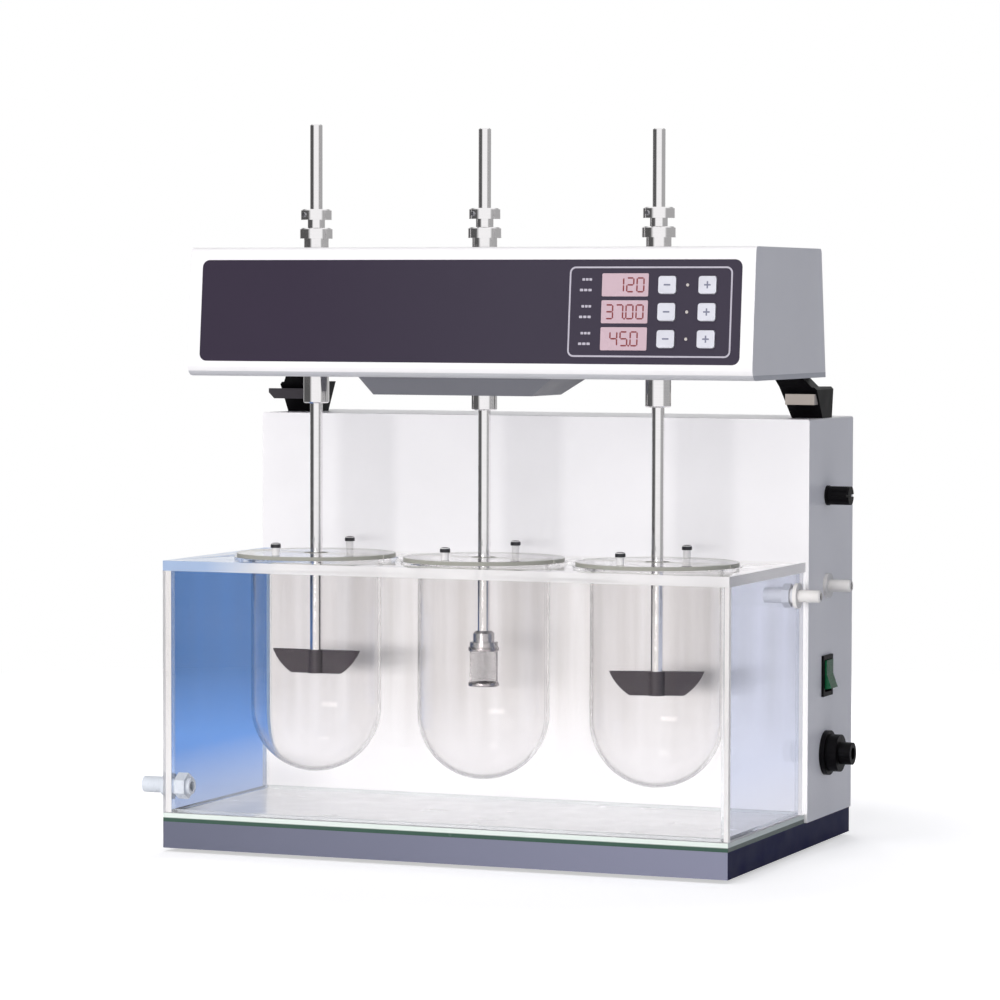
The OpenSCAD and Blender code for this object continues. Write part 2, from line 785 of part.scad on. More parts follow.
// Switch frame with a deep well for the rocker and two pivot holes
module switch_frame() {
    well_floor = 1.5;
    color("#141418") difference() {
        union() {
            box(x_side, y_side - switch_w / 2, z_switch - switch_h / 2,
                x_side + bezel_t, y_side + switch_w / 2, z_switch + switch_h / 2);
            box(x_side - switch_deep, y_side - rocker_w / 2 - well_out, z_switch - rocker_h / 2 - well_out,
                x_side + eps, y_side + rocker_w / 2 + well_out, z_switch + rocker_h / 2 + well_out);
        }
        box(x_side - switch_deep + well_floor, y_side - rocker_w / 2 + well_in,
            z_switch - rocker_h / 2 + well_in,
            x_side + bezel_t + eps, y_side + rocker_w / 2 - well_in, z_switch + rocker_h / 2 - well_in);
        translate([x_side - pivot_in, y_side + rocker_w, z_switch]) rotate([90, 0, 0])
            cylinder(d = pivot_d + 2 * fit, h = 2 * rocker_w);
    }
}
// Rocker with a hollow face, a rounded back and its pivot pin
module switch_rocker() {
    rocker_play = 1.6;
    rocker_out = 3.5;
    dish = 2;
    back = 4;
    heel = 3;
    knee = 2;
    half = rocker_h / 2 - well_in - rocker_play;
    face = pivot_in + bezel_t + rocker_out;
    inner_w = rocker_w - 2 * well_in - 2 * rocker_gap;
    color("#3cb870") translate([x_side - pivot_in, y_side, z_switch]) rotate([0, -rocker_tilt, 0]) {
        translate([0, inner_w / 2, 0]) rotate([90, 0, 0]) linear_extrude(inner_w)
            polygon([[-back, -heel], [knee, -half], [face, -half], [face - dish, 0],
                [face, half], [knee, half], [-back, heel]]);
        translate([0, rocker_w / 2 + well_in, 0]) rotate([90, 0, 0])
            cylinder(d = pivot_d, h = rocker_w + 2 * well_in);
    }
}
// Round mains inlet: flange, body and stub outside, nut inside
module mains_inlet() {
    nut_wall = 5;
    nut_d = inlet_stub + 2 * nut_wall;
    plate = 4;
    stub_in = 14;
    color("#16161a") translate([0, y_side, z_inlet]) difference() {
        union() {
            bar_x(x_side, x_side + plate, inlet_d);
            bar_x(x_side, x_side + inlet_block, inlet_body);
            bar_x(x_side - stub_in, x_side + inlet_out, inlet_stub);
            translate([x_side - cab_wall - nut_t, 0, 0]) rotate([0, 90, 0])
                cylinder(d = nut_d, h = nut_t, $fn = 6);
        }
        bar_x(x_side + inlet_out - cable_deep, x_side + inlet_out + eps, cable_d);
    }
}
// A hose tail through a wall: nut and pipe inside, flange and tail outside
module hose_barb(x_out, wall) {
    pipe_in = 22;
    tip = 1;
    translate([x_out, 0, 0]) difference() {
        union() {
            bar_x(-wall - pipe_in, barb_plate, barb_stem);
            bar_x(0, barb_plate, barb_flange);
            bar_x(0, barb_plate + barb_len - tip, barb_d);
            translate([barb_plate + barb_len - tip, 0, 0]) rotate([0, 90, 0])
                cylinder(d1 = barb_d, d2 = barb_d - 2 * tip, h = tip);
            translate([-wall - nut_t, 0, 0]) rotate([0, 90, 0]) cylinder(d = barb_nut, h = nut_t, $fn = 6);
        }
        bar_x(-wall - pipe_in - eps, barb_plate + barb_len + eps, barb_bore);
    }
}
module hose_barbs() {
    color("#e6e4e2") {
        translate([0, y_barb, z_barb]) hose_barb(x_bath, tank_wall);
        translate([0, y_side, z_barb + barb_rise]) hose_barb(x_side, cab_wall);
    }
}
// Drain through the left end sheet: a nut on each side and a hose tail outside
module drain_fitting() {
    pipe_in = 12;
    inner_nut = 9;
    color("#c8ccd8") translate([-x_bath, y_drain, z_drain]) difference() {
        union() {
            bar_x(-drain_out, tank_wall + pipe_in, drain_stem);
            translate([-drain_nut, 0, 0]) rotate([0, 90, 0]) cylinder(d = drain_d, h = drain_nut, $fn = 6);
            translate([tank_wall, 0, 0]) rotate([0, 90, 0]) cylinder(d = drain_d, h = inner_nut, $fn = 6);
        }
        bar_x(-drain_out - eps, tank_wall + pipe_in + eps, drain_stem - 5);
    }
}
// Pump on the base inside the cabinet: foot, motor, volute and outlet
module circulation_pump() {
    d = 0.48 * cab_d;
    len = 1.35 * d;
    volute_t = 0.4 * d;
    rise = 0.1 * d;
    axis_z = z_deck + d / 2 + rise;
    color("#50545c") translate([cab_w / 4, y_cab + cab_d / 2, 0]) {
        box(-len / 2, -d / 3, z_deck, len / 2, d / 3, z_deck + 2 * rise);
        translate([0, 0, axis_z]) {
            bar_x(-len / 2, len / 2, d);
            bar_x(len / 2, len / 2 + volute_t, d + rise);
            translate([len / 2 + volute_t / 2, d / 4, 0]) cylinder(d = d / 4, h = d);
        }
    }
}
// Flow heater on two feet inside the cabinet
module water_heater() {
    d = 0.35 * cab_d;
    len = cab_w / 3;
    foot_t = d / 5;
    band = d / 3.5;
    pipe = d / 3.5;
    pipe_bore = pipe / 2;
    axis_z = z_deck + d;
    color("#9a9ca2") translate([-cab_w / 4, y_cab + cab_d / 2, 0]) difference() {
        union() {
            translate([0, 0, axis_z]) {
                bar_x(-len / 2, len / 2, d);
                for (x = [-len / 2 + band, len / 2 - 2 * band]) bar_x(x, x + band, d + band / 2);
                for (x = [-len / 2 + 1.5 * band, len / 2 - 1.5 * band])
                    translate([x, 0, 0]) cylinder(d = pipe, h = d);
            }
            for (x = [-len / 3, len / 3]) box(x - foot_t / 2, -d / 2, z_deck, x + foot_t / 2, d / 2, axis_z);
        }
        for (x = [-len / 2 + 1.5 * band, len / 2 - 1.5 * band])
            translate([x, 0, axis_z]) cylinder(d = pipe_bore, h = d + eps);
    }
}

// Head

// Side outline of the head, drawn in by m from the sloped faces
function head_outline(m, z0, z1, r_nose, r_top) = round_poly(
    [[front_y(z0, m), z0], [rear_y(z0, m), z0], [rear_y(z1, m), z1], [front_y(z1, m), z1]],
    [r_nose, 0, r_top, r_top]);
// Solid between two levels of the head's whole outline
module head_slice(z0, z1) {
    intersection() {
        along_x(head_w) polygon(head_outline(0, z_head, z_top, nose_r, crown_r));
        box(-head_w, -head_d * 2, z0, head_w, head_d * 2, z1);
    }
}
// Housing: sloped shell with a sunk front, a control window and spindle holes
module head_housing() {
    color("#f0f0f2") difference() {
        head_slice(z_shell, z_top + eps);
        along_x(head_w - 2 * head_wall)
            polygon(head_outline(head_wall, z_shell - eps, z_top - head_wall, 0,
                max(crown_r - head_wall, 0.5)));
        front_slab(-eps, fascia_t) translate([0, row_mid]) polygon(round_rect(fascia_w, fascia_h, fascia_r));
        front_slab(-eps, head_wall + 2) translate([0, row_mid])
            polygon(rect(window_u0, -window_h / 2, window_u1, window_h / 2));
        for (i = [1:3]) at_station(i) translate([0, 0, z_top - 2 * head_wall])
            cylinder(d = boss_d + 3, h = 4 * head_wall);
    }
}
// Sole of the head with its three bearing posts
module head_bottom_plate() {
    color("#b4b6bc") difference() {
        union() {
            head_slice(z_head - eps, z_shell);
            for (i = [1:3]) at_station(i) translate([0, 0, z_shell - 1]) cylinder(d = post_d, h = post_h + 1);
        }
        for (i = [1:3]) at_station(i) {
            translate([0, 0, z_head - eps])
                cylinder(d = spindle_d + 2 * spindle_air, h = sole_t + post_h + 2 * eps);
            translate([0, 0, z_head - eps]) cylinder(d = bearing_seat, h = bearing_w + eps);
            translate([0, 0, z_post - bearing_w]) cylinder(d = bearing_seat, h = bearing_w + eps);
        }
    }
}
module spindle_bearings() {
    color("#c8c8cc") for (i = [1:3], z = [z_head, z_post - bearing_w])
        at_station(i) translate([0, 0, z]) tube(bearing_d, bearing_bore, bearing_w);
}
// Sunk panel with openings for displays, keys and lamps
module fascia_panel() {
    color("#48424f") difference() {
        front_slab(0.1, fascia_t) translate([0, row_mid])
            polygon(round_rect(fascia_w - 2 * fit, fascia_h - 2 * fit, fascia_r));
        for (row = [0:2]) {
            front_slab(-eps, fascia_t + eps) translate([u_display, row_v(row)])
                polygon(round_rect(display_w + 2 * fit, display_h + 2 * fit, 1));
            for (u = [u_inner, u_outer]) front_slab(-eps, fascia_t + eps) translate([u, row_v(row)])
                polygon(round_rect(key_w + 2 * key_gap, key_h + 2 * key_gap, key_r + key_gap));
            on_front() translate([u_lamp, fascia_t + eps, row_v(row)]) rotate([90, 0, 0])
                cylinder(d = lamp_d + 2 * fit, h = fascia_t + 2 * eps);
        }
    }
}
// Depth of a display's block on the board, with its window before it
display_block = 6;
module display_windows() {
    pane_out = 0.2;
    pane_r = 1;
    color("#ebcdcd", 0.9) for (row = [0:2]) front_slab(-pane_out, board_y - display_block)
        translate([u_display, row_v(row)]) polygon(round_rect(display_w, display_h, pane_r));
}
module indicator_lamps() {
    lamp_out = 0.4;
    color("#d8d0a0") for (row = [0:2]) on_front() translate([u_lamp, board_y, row_v(row)])
        rotate([90, 0, 0]) cylinder(d = lamp_d, h = board_y + lamp_out);
}
// Board on four pillars, with display blocks and key switches
module control_board() {
    pillar_d = 7;
    edge = 1.5;
    block_edge = 1;
    switch_half = 3;
    color("#2f6b45") difference() {
        union() {
            front_slab(board_y, board_y + board_t) translate([0, row_mid])
                polygon(rect(window_u0 - pillar_d - edge, -window_h / 2,
                    window_u1 + pillar_d + edge, window_h / 2));
            for (u = [window_u0 - pillar_d / 2 - edge / 2, window_u1 + pillar_d / 2 + edge / 2], s = [-1, 1])
                on_front() translate([u, board_y + board_t / 2, row_mid + s * (window_h / 2 - pillar_d / 2)])
                    rotate([90, 0, 0]) cylinder(d = pillar_d, h = board_y + board_t / 2 - head_wall);
            for (row = [0:2]) {
                front_slab(board_y - display_block, board_y + board_t / 2) translate([u_display, row_v(row)])
                    polygon(rect(-display_w / 2 + block_edge, -display_h / 2 + block_edge,
                        display_w / 2 - block_edge, display_h / 2 - block_edge));
                for (u = [u_inner, u_outer]) front_slab(board_y - switch_t, board_y + board_t / 2)
                    translate([u, row_v(row)])
                        polygon(rect(-switch_half, -switch_half, switch_half, switch_half));
            }
        }
    }
}
// Key cap through the fascia, with a stop flange and a stem behind it
module key(u, row) {
    stem_air = 0.15;
    stem_end = board_y - switch_t - key_travel - stem_air;
    flange0 = fascia_t + flange_back;
    color("#f4f4f6") {
        front_slab(-key_out, flange0 + key_flange_t) translate([u, row_v(row)])
            polygon(round_rect(key_w, key_h, key_r));
        front_slab(flange0, flange0 + key_flange_t) translate([u, row_v(row)])
            polygon(round_rect(key_w + 2 * key_gap + 2 * key_flange,
                key_h + 2 * key_gap + 2 * key_flange, key_r));
        on_front() translate([u, stem_end, row_v(row)]) rotate([90, 0, 0])
            cylinder(d = stem_d, h = stem_end - flange0);
    }
}
module key_1() { key(u_inner, 0); }
module key_2() { key(u_inner, 1); }
module key_3() { key(u_inner, 2); }
module key_4() { key(u_outer, 0); }
module key_5() { key(u_outer, 1); }
module key_6() { key(u_outer, 2); }

// Solid of the pan's outer or inner form
module pan_form(m, z0, z1) {
    x0 = pan_x - pan_w / 2 + m;
    x1 = pan_x + pan_w / 2 - m;
    y0 = y_rod - pan_reach + m;
    y1 = y_rod - pan_reach + pan_d - m;
    intersection() {
        along_y(y0 - eps, y1 + eps)
            polygon([[x0, z1], [x0 + pan_slope, z0], [x1 - pan_slope_right, z0], [x1, z1]]);
        along_x(4 * pan_w)
            polygon([[y0, z1], [y0 + pan_slope, z0], [y1 - pan_slope, z0], [y1, z1]]);
    }
}
// Shallow pan under the head, open above, with a hole for the middle collar
module drive_pan() {
    color("#3c3c42") difference() {
        pan_form(0, z_head - pan_h, z_head);
        pan_form(pan_wall, z_head - pan_h + pan_wall, z_head + eps);
        at_station(2) translate([0, 0, z_head - pan_h - eps])
            cylinder(d = collar_d + 3, h = pan_wall + 2 * eps);
    }
}

// Drive

// A belt pulley's groove between two rims, at one belt level
module pulley(level) {
    translate([0, 0, z_belt(level) - rim_t]) {
        cylinder(d = pulley_d + 2 * pulley_rim, h = rim_t);
        cylinder(d = pulley_d, h = groove_h + 2 * rim_t);
        translate([0, 0, rim_t + groove_h]) cylinder(d = pulley_d + 2 * pulley_rim, h = rim_t);
    }
}
motor_top = z_shell + motor_h;
// The shaft starts this far up in the motor, with a little air under it
shaft_seat = 8;
shaft_air = 0.3;
module drive_motor() {
    flange_t2 = 5;
    ear = 4;
    color("#5a5e66") translate([motor_x, y_rod + motor_y, 0]) difference() {
        union() {
            box(-motor_d / 2 - ear, -motor_d / 2 - ear, z_shell, motor_d / 2 + ear,
                motor_d / 2 + ear, z_shell + flange_t2);
            translate([0, 0, z_shell]) cylinder(d = motor_d, h = motor_h);
        }
        translate([0, 0, z_shell + shaft_seat]) cylinder(d = shaft_d + 2 * fit, h = motor_h);
    }
}
module motor_pulley() {
    z_foot = z_shell + shaft_seat + shaft_air;
    color("#a8aab0") translate([motor_x, y_rod + motor_y, 0]) {
        pulley(2);
        translate([0, 0, z_foot]) cylinder(d = shaft_d, h = z_belt(2) + groove_h - z_foot);
    }
}
// One belt round two pulleys whose axes lie at a and b
module belt(a, b, level) {
    d = b - a;
    r = pulley_d / 2 + belt_gap;
    translate([a[0], a[1], z_belt(level) + belt_side]) rotate([0, 0, atan2(d[1], d[0])]) difference() {
        linear_extrude(belt_w) polygon(loop(norm(d), r + belt_t));
        translate([0, 0, -eps]) linear_extrude(belt_w + 2 * eps) polygon(loop(norm(d), r));
    }
}
// Motor to middle spindle, and middle spindle to each of the outer ones
module drive_belts() {
    color("#1a1a1a") {
        belt([-pitch, y_rod], [0, y_rod], 0);
        belt([0, y_rod], [pitch, y_rod], 1);
        belt([motor_x, y_rod + motor_y], [0, y_rod], 2);
    }
}

// Spindles, rods and stirrers

// Hollow spindle: collar below, pulleys in the head, boss and ring on top
module spindle(i, levels) {
    bevel = 1;
    long = collar_h + (i == 2 ? collar_more : 0);
    z_foot = z_head - long;
    color("#d4d4d8") at_station(i) difference() {
        union() {
            translate([0, 0, z_foot]) cylinder(d1 = collar_d - 2 * bevel, d2 = collar_d, h = bevel);
            translate([0, 0, z_foot + bevel]) cylinder(d = collar_d, h = long - bevel - slip);
            translate([0, 0, z_foot + bevel]) cylinder(d = spindle_d, h = z_drive - z_foot - bevel);
            for (level = levels) pulley(level);
            translate([0, 0, z_boss - head_wall - 1]) cylinder(d = boss_d, h = boss_h + head_wall + 1);
            translate([0, 0, z_drive]) cylinder(d = drive_d, h = drive_h - bevel);
            translate([0, 0, z_neck - bevel]) cylinder(d1 = drive_d, d2 = drive_d - 2 * bevel, h = bevel);
        }
        translate([0, 0, z_foot - eps]) cylinder(d = bore_d, h = z_neck - z_foot + 2 * eps);
    }
}
module spindle_1() { spindle(1, [0]); }
module spindle_2() { spindle(2, [0, 1, 2]); }
module spindle_3() { spindle(3, [1]); }

function rise(i) = i == 1 ? rise_left : i == 2 ? rise_middle : 0;
// The middle rod ends in the basket's hub, the others at their paddle's lower edge
function rod_foot(i) = z_tip + rise(i) + (i == 2 ? basket_h + hub_h / 3 : 0);
function rod_head(i) = z_clutch_top + rod_above + rise(i);
module rod(i) {
    bevel = 0.8;
    color("#c4c4c8") at_station(i) {
        translate([0, 0, rod_foot(i)]) cylinder(d = rod_d, h = rod_head(i) - rod_foot(i) - bevel);
        translate([0, 0, rod_head(i) - bevel]) cylinder(d1 = rod_d, d2 = rod_d - 2 * bevel, h = bevel);
    }
}
module rod_1() { rod(1); }
module rod_2() { rod(2); }
module rod_3() { rod(3); }

// Clutch ring and its neck, fixed to the rod and resting on the driving ring
module clutch_ring(i) {
    bevel = 1;
    color("#e0e0e4") at_station(i) difference() {
        union() {
            translate([0, 0, z_neck]) cylinder(d = neck_d, h = neck_h + bevel);
            translate([0, 0, z_clutch]) cylinder(d = clutch_d, h = clutch_h - bevel);
            translate([0, 0, z_clutch_top - bevel])
                cylinder(d1 = clutch_d, d2 = clutch_d - 2 * bevel, h = bevel);
        }
        translate([0, 0, z_neck - eps]) cylinder(d = grip_bore, h = neck_h + clutch_h + 2 * eps);
    }
}
module clutch_ring_1() { clutch_ring(1); }
module clutch_ring_2() { clutch_ring(2); }
module clutch_ring_3() { clutch_ring(3); }

// Blade cut from a disc, so its ends are arcs, on a sleeve round the rod
function chord_h(r, c) = sqrt(r * r - c * c / 4);
// Radius at which the two edges lie one blade height apart
blade_k = (paddle_top * paddle_top - paddle_low * paddle_low) / 4;
blade_low = (blade_k + paddle_h * paddle_h) / (2 * paddle_h);
blade_r = sqrt(blade_low * blade_low + paddle_low * paddle_low / 4);
module paddle(i, turn) {
    sleeve_d = rod_d + 2 * paddle_sleeve;
    color("#554e52") at_station(i) translate([0, 0, z_tip + rise(i)]) rotate([0, 0, turn]) difference() {
        union() {
            intersection() {
                translate([0, paddle_t / 2, blade_low]) rotate([90, 0, 0])
                    cylinder(r = blade_r, h = paddle_t, $fn = 96);
                box(-blade_r, -paddle_t, 0, blade_r, paddle_t, paddle_h);
            }
            cylinder(d = sleeve_d, h = paddle_h);
        }
        translate([0, 0, -eps]) cylinder(d = grip_bore, h = paddle_h + 2 * eps);
    }
}
module paddle_1() { paddle(1, turn_left); }
module paddle_3() { paddle(3, turn_right); }

ring_h = 3;
ring_out = 1;
screen_d = basket_d - 2 * ring_out;
z_basket = z_tip + rise_middle;
// Hub on the middle rod: a disc over the basket, a vent and a stepped neck
module basket_hub() {
    disc_h = 4;
    vent_d = 2;
    vent_out = 1.2;
    bevel = 2;
    hub_wall = 3.5;
    hub_d = rod_d + 2 * hub_wall;
    color("#9a989c") at_station(2) translate([0, 0, z_basket + basket_h]) difference() {
        union() {
            cylinder(d = screen_d, h = disc_h);
            cylinder(d = hub_d, h = hub_h - bevel);
            translate([0, 0, hub_h - bevel]) cylinder(d1 = hub_d, d2 = hub_d - 2 * bevel, h = bevel);
        }
        translate([0, 0, hub_h / 3]) cylinder(d = grip_bore, h = hub_h);
        translate([(basket_d + rod_d) / 4 + vent_out, 0, -eps]) cylinder(d = vent_d, h = disc_h + hub_h);
    }
}
// Screen basket: a ring at each end, a windowed wall and a closed foot
module basket_screen() {
    foot_t = 1;
    open_h = basket_h - 2 * ring_h;
    bar = 0.8;
    win_h = open_h / screen_rows - bar;
    win_w = PI * screen_d / screen_n - bar;
    color("#a8a6aa") at_station(2) translate([0, 0, z_basket]) difference() {
        union() {
            cylinder(d = basket_d, h = ring_h);
            cylinder(d = screen_d, h = basket_h);
            translate([0, 0, basket_h - ring_h]) cylinder(d = basket_d, h = ring_h);
        }
        translate([0, 0, foot_t]) cylinder(d = screen_d - 2 * screen_t, h = basket_h);
        for (row = [0:screen_rows - 1], k = [0:screen_n / 2 - 1])
            translate([0, 0, ring_h + bar / 2 + row * (win_h + bar)]) rotate([0, 0, k * 360 / screen_n])
                translate([-basket_d, -win_w / 2, 0]) cube([2 * basket_d, win_w, win_h]);
    }
}

base_tray();
rubber_feet();
tank_floor();
tank_front_wall();
tank_end_walls();
tank_rear_wall();
vessel_plate();
cabinet_shell();
cabinet_rear_cover();
bracket_blocks();
bracket_arms();
hinge_bars();
fuse_holder();
switch_frame();
mains_inlet();
hose_barbs();
drain_fitting();
circulation_pump();
water_heater();
head_housing();
head_bottom_plate();
fascia_panel();
display_windows();
control_board();
indicator_lamps();
drive_pan();
drive_motor();
drive_belts();
spindle_bearings();
motor_pulley();
spindle_1();
spindle_2();
spindle_3();
rod_1();
rod_2();
rod_3();
clutch_ring_1();
clutch_ring_2();
clutch_ring_3();
paddle_1();
paddle_3();
basket_hub();
basket_screen();
vessel_1();
vessel_2();
vessel_3();
lid_1_front();
lid_1_rear();
lid_2_front();
lid_2_rear();
lid_3_front();
lid_3_rear();
key_1();
key_2();
key_3();
key_4();
key_5();
key_6();
fuse_cap();
switch_rocker();
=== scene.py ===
"""Looks and small fittings of the dissolution tester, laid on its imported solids."""
import json
import math

import bmesh
import bpy
from bpy.props import FloatProperty, FloatVectorProperty, IntProperty, PointerProperty, StringProperty
from mathutils import Matrix, Vector


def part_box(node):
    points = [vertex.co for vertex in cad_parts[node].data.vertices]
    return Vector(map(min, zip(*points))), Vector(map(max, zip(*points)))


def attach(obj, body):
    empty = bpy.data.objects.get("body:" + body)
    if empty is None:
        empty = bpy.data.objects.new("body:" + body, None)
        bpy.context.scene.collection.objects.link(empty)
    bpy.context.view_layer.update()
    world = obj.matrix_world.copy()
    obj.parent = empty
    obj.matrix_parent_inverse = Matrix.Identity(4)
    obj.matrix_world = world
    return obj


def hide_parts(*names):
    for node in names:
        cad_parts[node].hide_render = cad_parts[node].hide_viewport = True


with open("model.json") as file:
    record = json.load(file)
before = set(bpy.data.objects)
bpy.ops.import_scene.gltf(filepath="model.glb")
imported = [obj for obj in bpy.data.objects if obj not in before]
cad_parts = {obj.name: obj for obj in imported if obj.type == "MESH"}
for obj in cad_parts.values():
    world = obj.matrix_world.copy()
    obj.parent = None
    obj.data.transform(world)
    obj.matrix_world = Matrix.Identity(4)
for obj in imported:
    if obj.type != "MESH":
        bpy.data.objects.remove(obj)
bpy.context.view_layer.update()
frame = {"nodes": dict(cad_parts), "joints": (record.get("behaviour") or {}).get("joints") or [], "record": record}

NODES = frame["nodes"]
MM = 0.001

bl_info = {
    "name": "Dissolution tester",
    "version": (1, 0, 0),
    "blender": (4, 5, 0),
    "location": "View3D > Sidebar > Tester",
    "description": "Dresses the solids of a bench dissolution tester and adds its small fittings",
    "category": "Object",
}

# Places read from the solids
STATIONS = (1, 2, 3)
SOLE_LOW, SOLE_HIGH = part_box("head_bottom_plate")
ROD_BOXES = {i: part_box("rod_%d" % i) for i in STATIONS}
ROD_AXES = {i: ((lo[0] + hi[0]) / 2, (lo[1] + hi[1]) / 2) for i, (lo, hi) in ROD_BOXES.items()}
KEY_JOINTS = [next(j for j in frame["joints"] if j["name"] == "key_%d_press" % k) for k in range(1, 7)]
PRESS = Vector(KEY_JOINTS[0]["axis"])
FRONT_TILT = math.atan2(-PRESS.z, PRESS.y)

# Clear pieces: sheets refract little here, so that no dark band shows along their edges
SHEET_IOR = 1.06
RIM_MILK = (0.83, 0.82, 0.82)
LID_THICK = 3 * MM
CLEAR_SLOTS = ("bath_clear", "bath_blue", "vessel_glass", "lid_clear")
# Heights where the painted reflection streaks on the walls begin and are full
REFLECTION_FROM, REFLECTION_FULL = 70 * MM, 140 * MM
# Faces of clear pieces that coincide render black, so the plate gets a hair of air
PLATE_AIR = 0.05 * MM

# Front panel: print, displays and key signs
INK_THICK = 0.08 * MM
LINE_CORNER = 5 * MM
LABEL_GAP = 8.2 * MM
# Each label line's height over the middle of its row, and its length
LABEL_LINES = ((4.2 * MM, 8.6 * MM), (-4.0 * MM, 10.4 * MM))
LABEL_WORDS = 3
LABEL_FILL = 0.78
LABEL_HIGH = 1.9 * MM
DIGIT_THICK = 0.06 * MM
SIGN_LONG, SIGN_LINE = 5.4 * MM, 1.2 * MM
SIGN_ARM, SIGN_ARM_OUT = 2.1 * MM, 1.7 * MM
SIGN_THICK = 0.05 * MM

# Knob caps, basket and screws
CAP_HIGH, CAP_ROUND, CAP_RIM, CAP_DISH = 3.9 * MM, 2.2 * MM, 0.6 * MM, 0.25 * MM
CAP_OVER = 0.3 * MM
RING_HIGH, RING_WIDE, RING_DEEP, RING_ROUND = 3 * MM, 1.8 * MM, 2 * MM, 0.4 * MM
WIRE_IN, WIRE_END = 1.3 * MM, 1 * MM
COVER_EDGE = 12 * MM
COVER_SCREW_HIGH = 1.8 * MM
SOLE_FRONT, SOLE_REAR = 34 * MM, 14 * MM
SOLE_OUTER, SOLE_INNER = 225 * MM, 110 * MM
SOLE_SCREW_RADIUS, SOLE_SCREW_HIGH = 3 * MM, 0.5 * MM
GRUB_RADIUS, GRUB_HIGH, GRUB_DOWN, GRUB_SUNK = 2 * MM, 1.4 * MM, 4.5 * MM, 0.3 * MM
GRUB_TURN = math.radians(-25)

# Stage: the camera as it was fitted to the photograph's straight edges
CAMERA_YAW = math.radians(21.923)
CAMERA_PITCH = math.radians(2.826)
CAMERA_ROLL = math.radians(-0.134)
CAMERA_PLACE = (1.21318, -3.04171, 0.43965)
FOCAL_PIXELS, PICTURE_PIXELS = 4064.6, 1000
SENSOR_WIDTH = 36

# Stage: the white surround, and the dark panels that shiny pieces see in it
AMBIENT = 0.24
AMBIENT_TINT = (0.98, 0.98, 1.02, 1)
PANEL_LEFT, PANEL_RIGHT = 0.1, 0.42

# Stage: the floor glows more towards its edge, and further out it is nothing but glow
FLOOR_SIZE = 5
GLOW_FROM, GLOW_FULL, GLOW_LOW = 0.35, 0.85, 0.53
FLOOR_GONE = 1.6

# Stage: place, aim, size, watts and tint of each lamp
LAMP_TINT = (1.0, 0.985, 0.98)
SIDE_TINT = (0.37, 0.55, 1.0)
LAMPS = {
    "key_lamp": ((-1.6, -2.8, 1.5), (0, 0, 0.3), (1.8, 1.4), 10, LAMP_TINT),
    "front_lamp": ((-0.3, -9.0, 0.6), (0, 0, 0.3), (4.8, 1.1), 512, LAMP_TINT),
    "top_lamp": ((-0.1, -1.5, 2.6), (0, 0, 0.2), (1.4, 1.2), 17, LAMP_TINT),
    "rear_lamp": ((-0.75, 2.2, 2.4), (0, 0, 0.4), (1.4, 1.2), 21, LAMP_TINT),
    "side_lamp": ((3.2, 0.4, 0.7), (0, 0, 0.3), (1.6, 1.2), 5.6, SIDE_TINT),
}


def srgb(*channels):
    """Linear values of a colour given in 0 to 255 display steps."""
    return tuple(((c / 255 + 0.055) / 1.055) ** 2.4 if c > 10 else c / 255 / 12.92 for c in channels)


def length(name, about, millimetres):
    """A length property with its default."""
    return FloatProperty(name=name, description=about, default=millimetres * MM, unit="LENGTH")


def colour(name, about, value):
    """A colour property with its default."""
    return FloatVectorProperty(
        name=name, description=about, subtype="COLOR", size=3, min=0, max=1, default=value)


class TesterSizes(bpy.types.PropertyGroup):
    """Sizes of the fittings that are added to the solids."""
    digit_height: length("Digit height", "Height of a display digit", 10.6)
    digit_width: length("Digit width", "Width of a display digit", 5.6)
    digit_pitch: length("Digit pitch", "Distance between two digits", 8.3)
    segment_width: length("Segment width", "Width of one bar of a digit", 1.15)
    print_line: length("Printed line", "Width of the line round the controls", 1.3)
    print_left: length("Line left", "Left end of the line round the controls", 87.5)
    print_right: length("Line right", "Right end of the line round the controls", 220.4)
    print_height: length("Line height", "Height of the line round the controls", 70)
    cap_radius: length("Cap radius", "Radius of a lid knob's dark cap", 4.1)
    screw_radius: length("Screw radius", "Radius of a cover screw's head", 3.4)
    bead_radius: length("Bead radius", "Radius of the glue bead in the bath's corners", 1.6)
    wire: length("Wire", "Thickness of the basket's woven wire", 0.22)
    wire_columns: IntProperty(
        name="Wire columns", description="Upright wires round the basket", default=72, min=24)
    wire_rows: IntProperty(
        name="Wire rows", description="Rows of wire up the basket", default=24, min=8)
    rod_speed: StringProperty(
        name="Upper display", description="Number on the upper display", default=" 120")
    bath_heat: StringProperty(
        name="Middle display", description="Number on the middle display", default="37.00")
    test_time: StringProperty(
        name="Lower display", description="Number on the lower display", default="45.0")


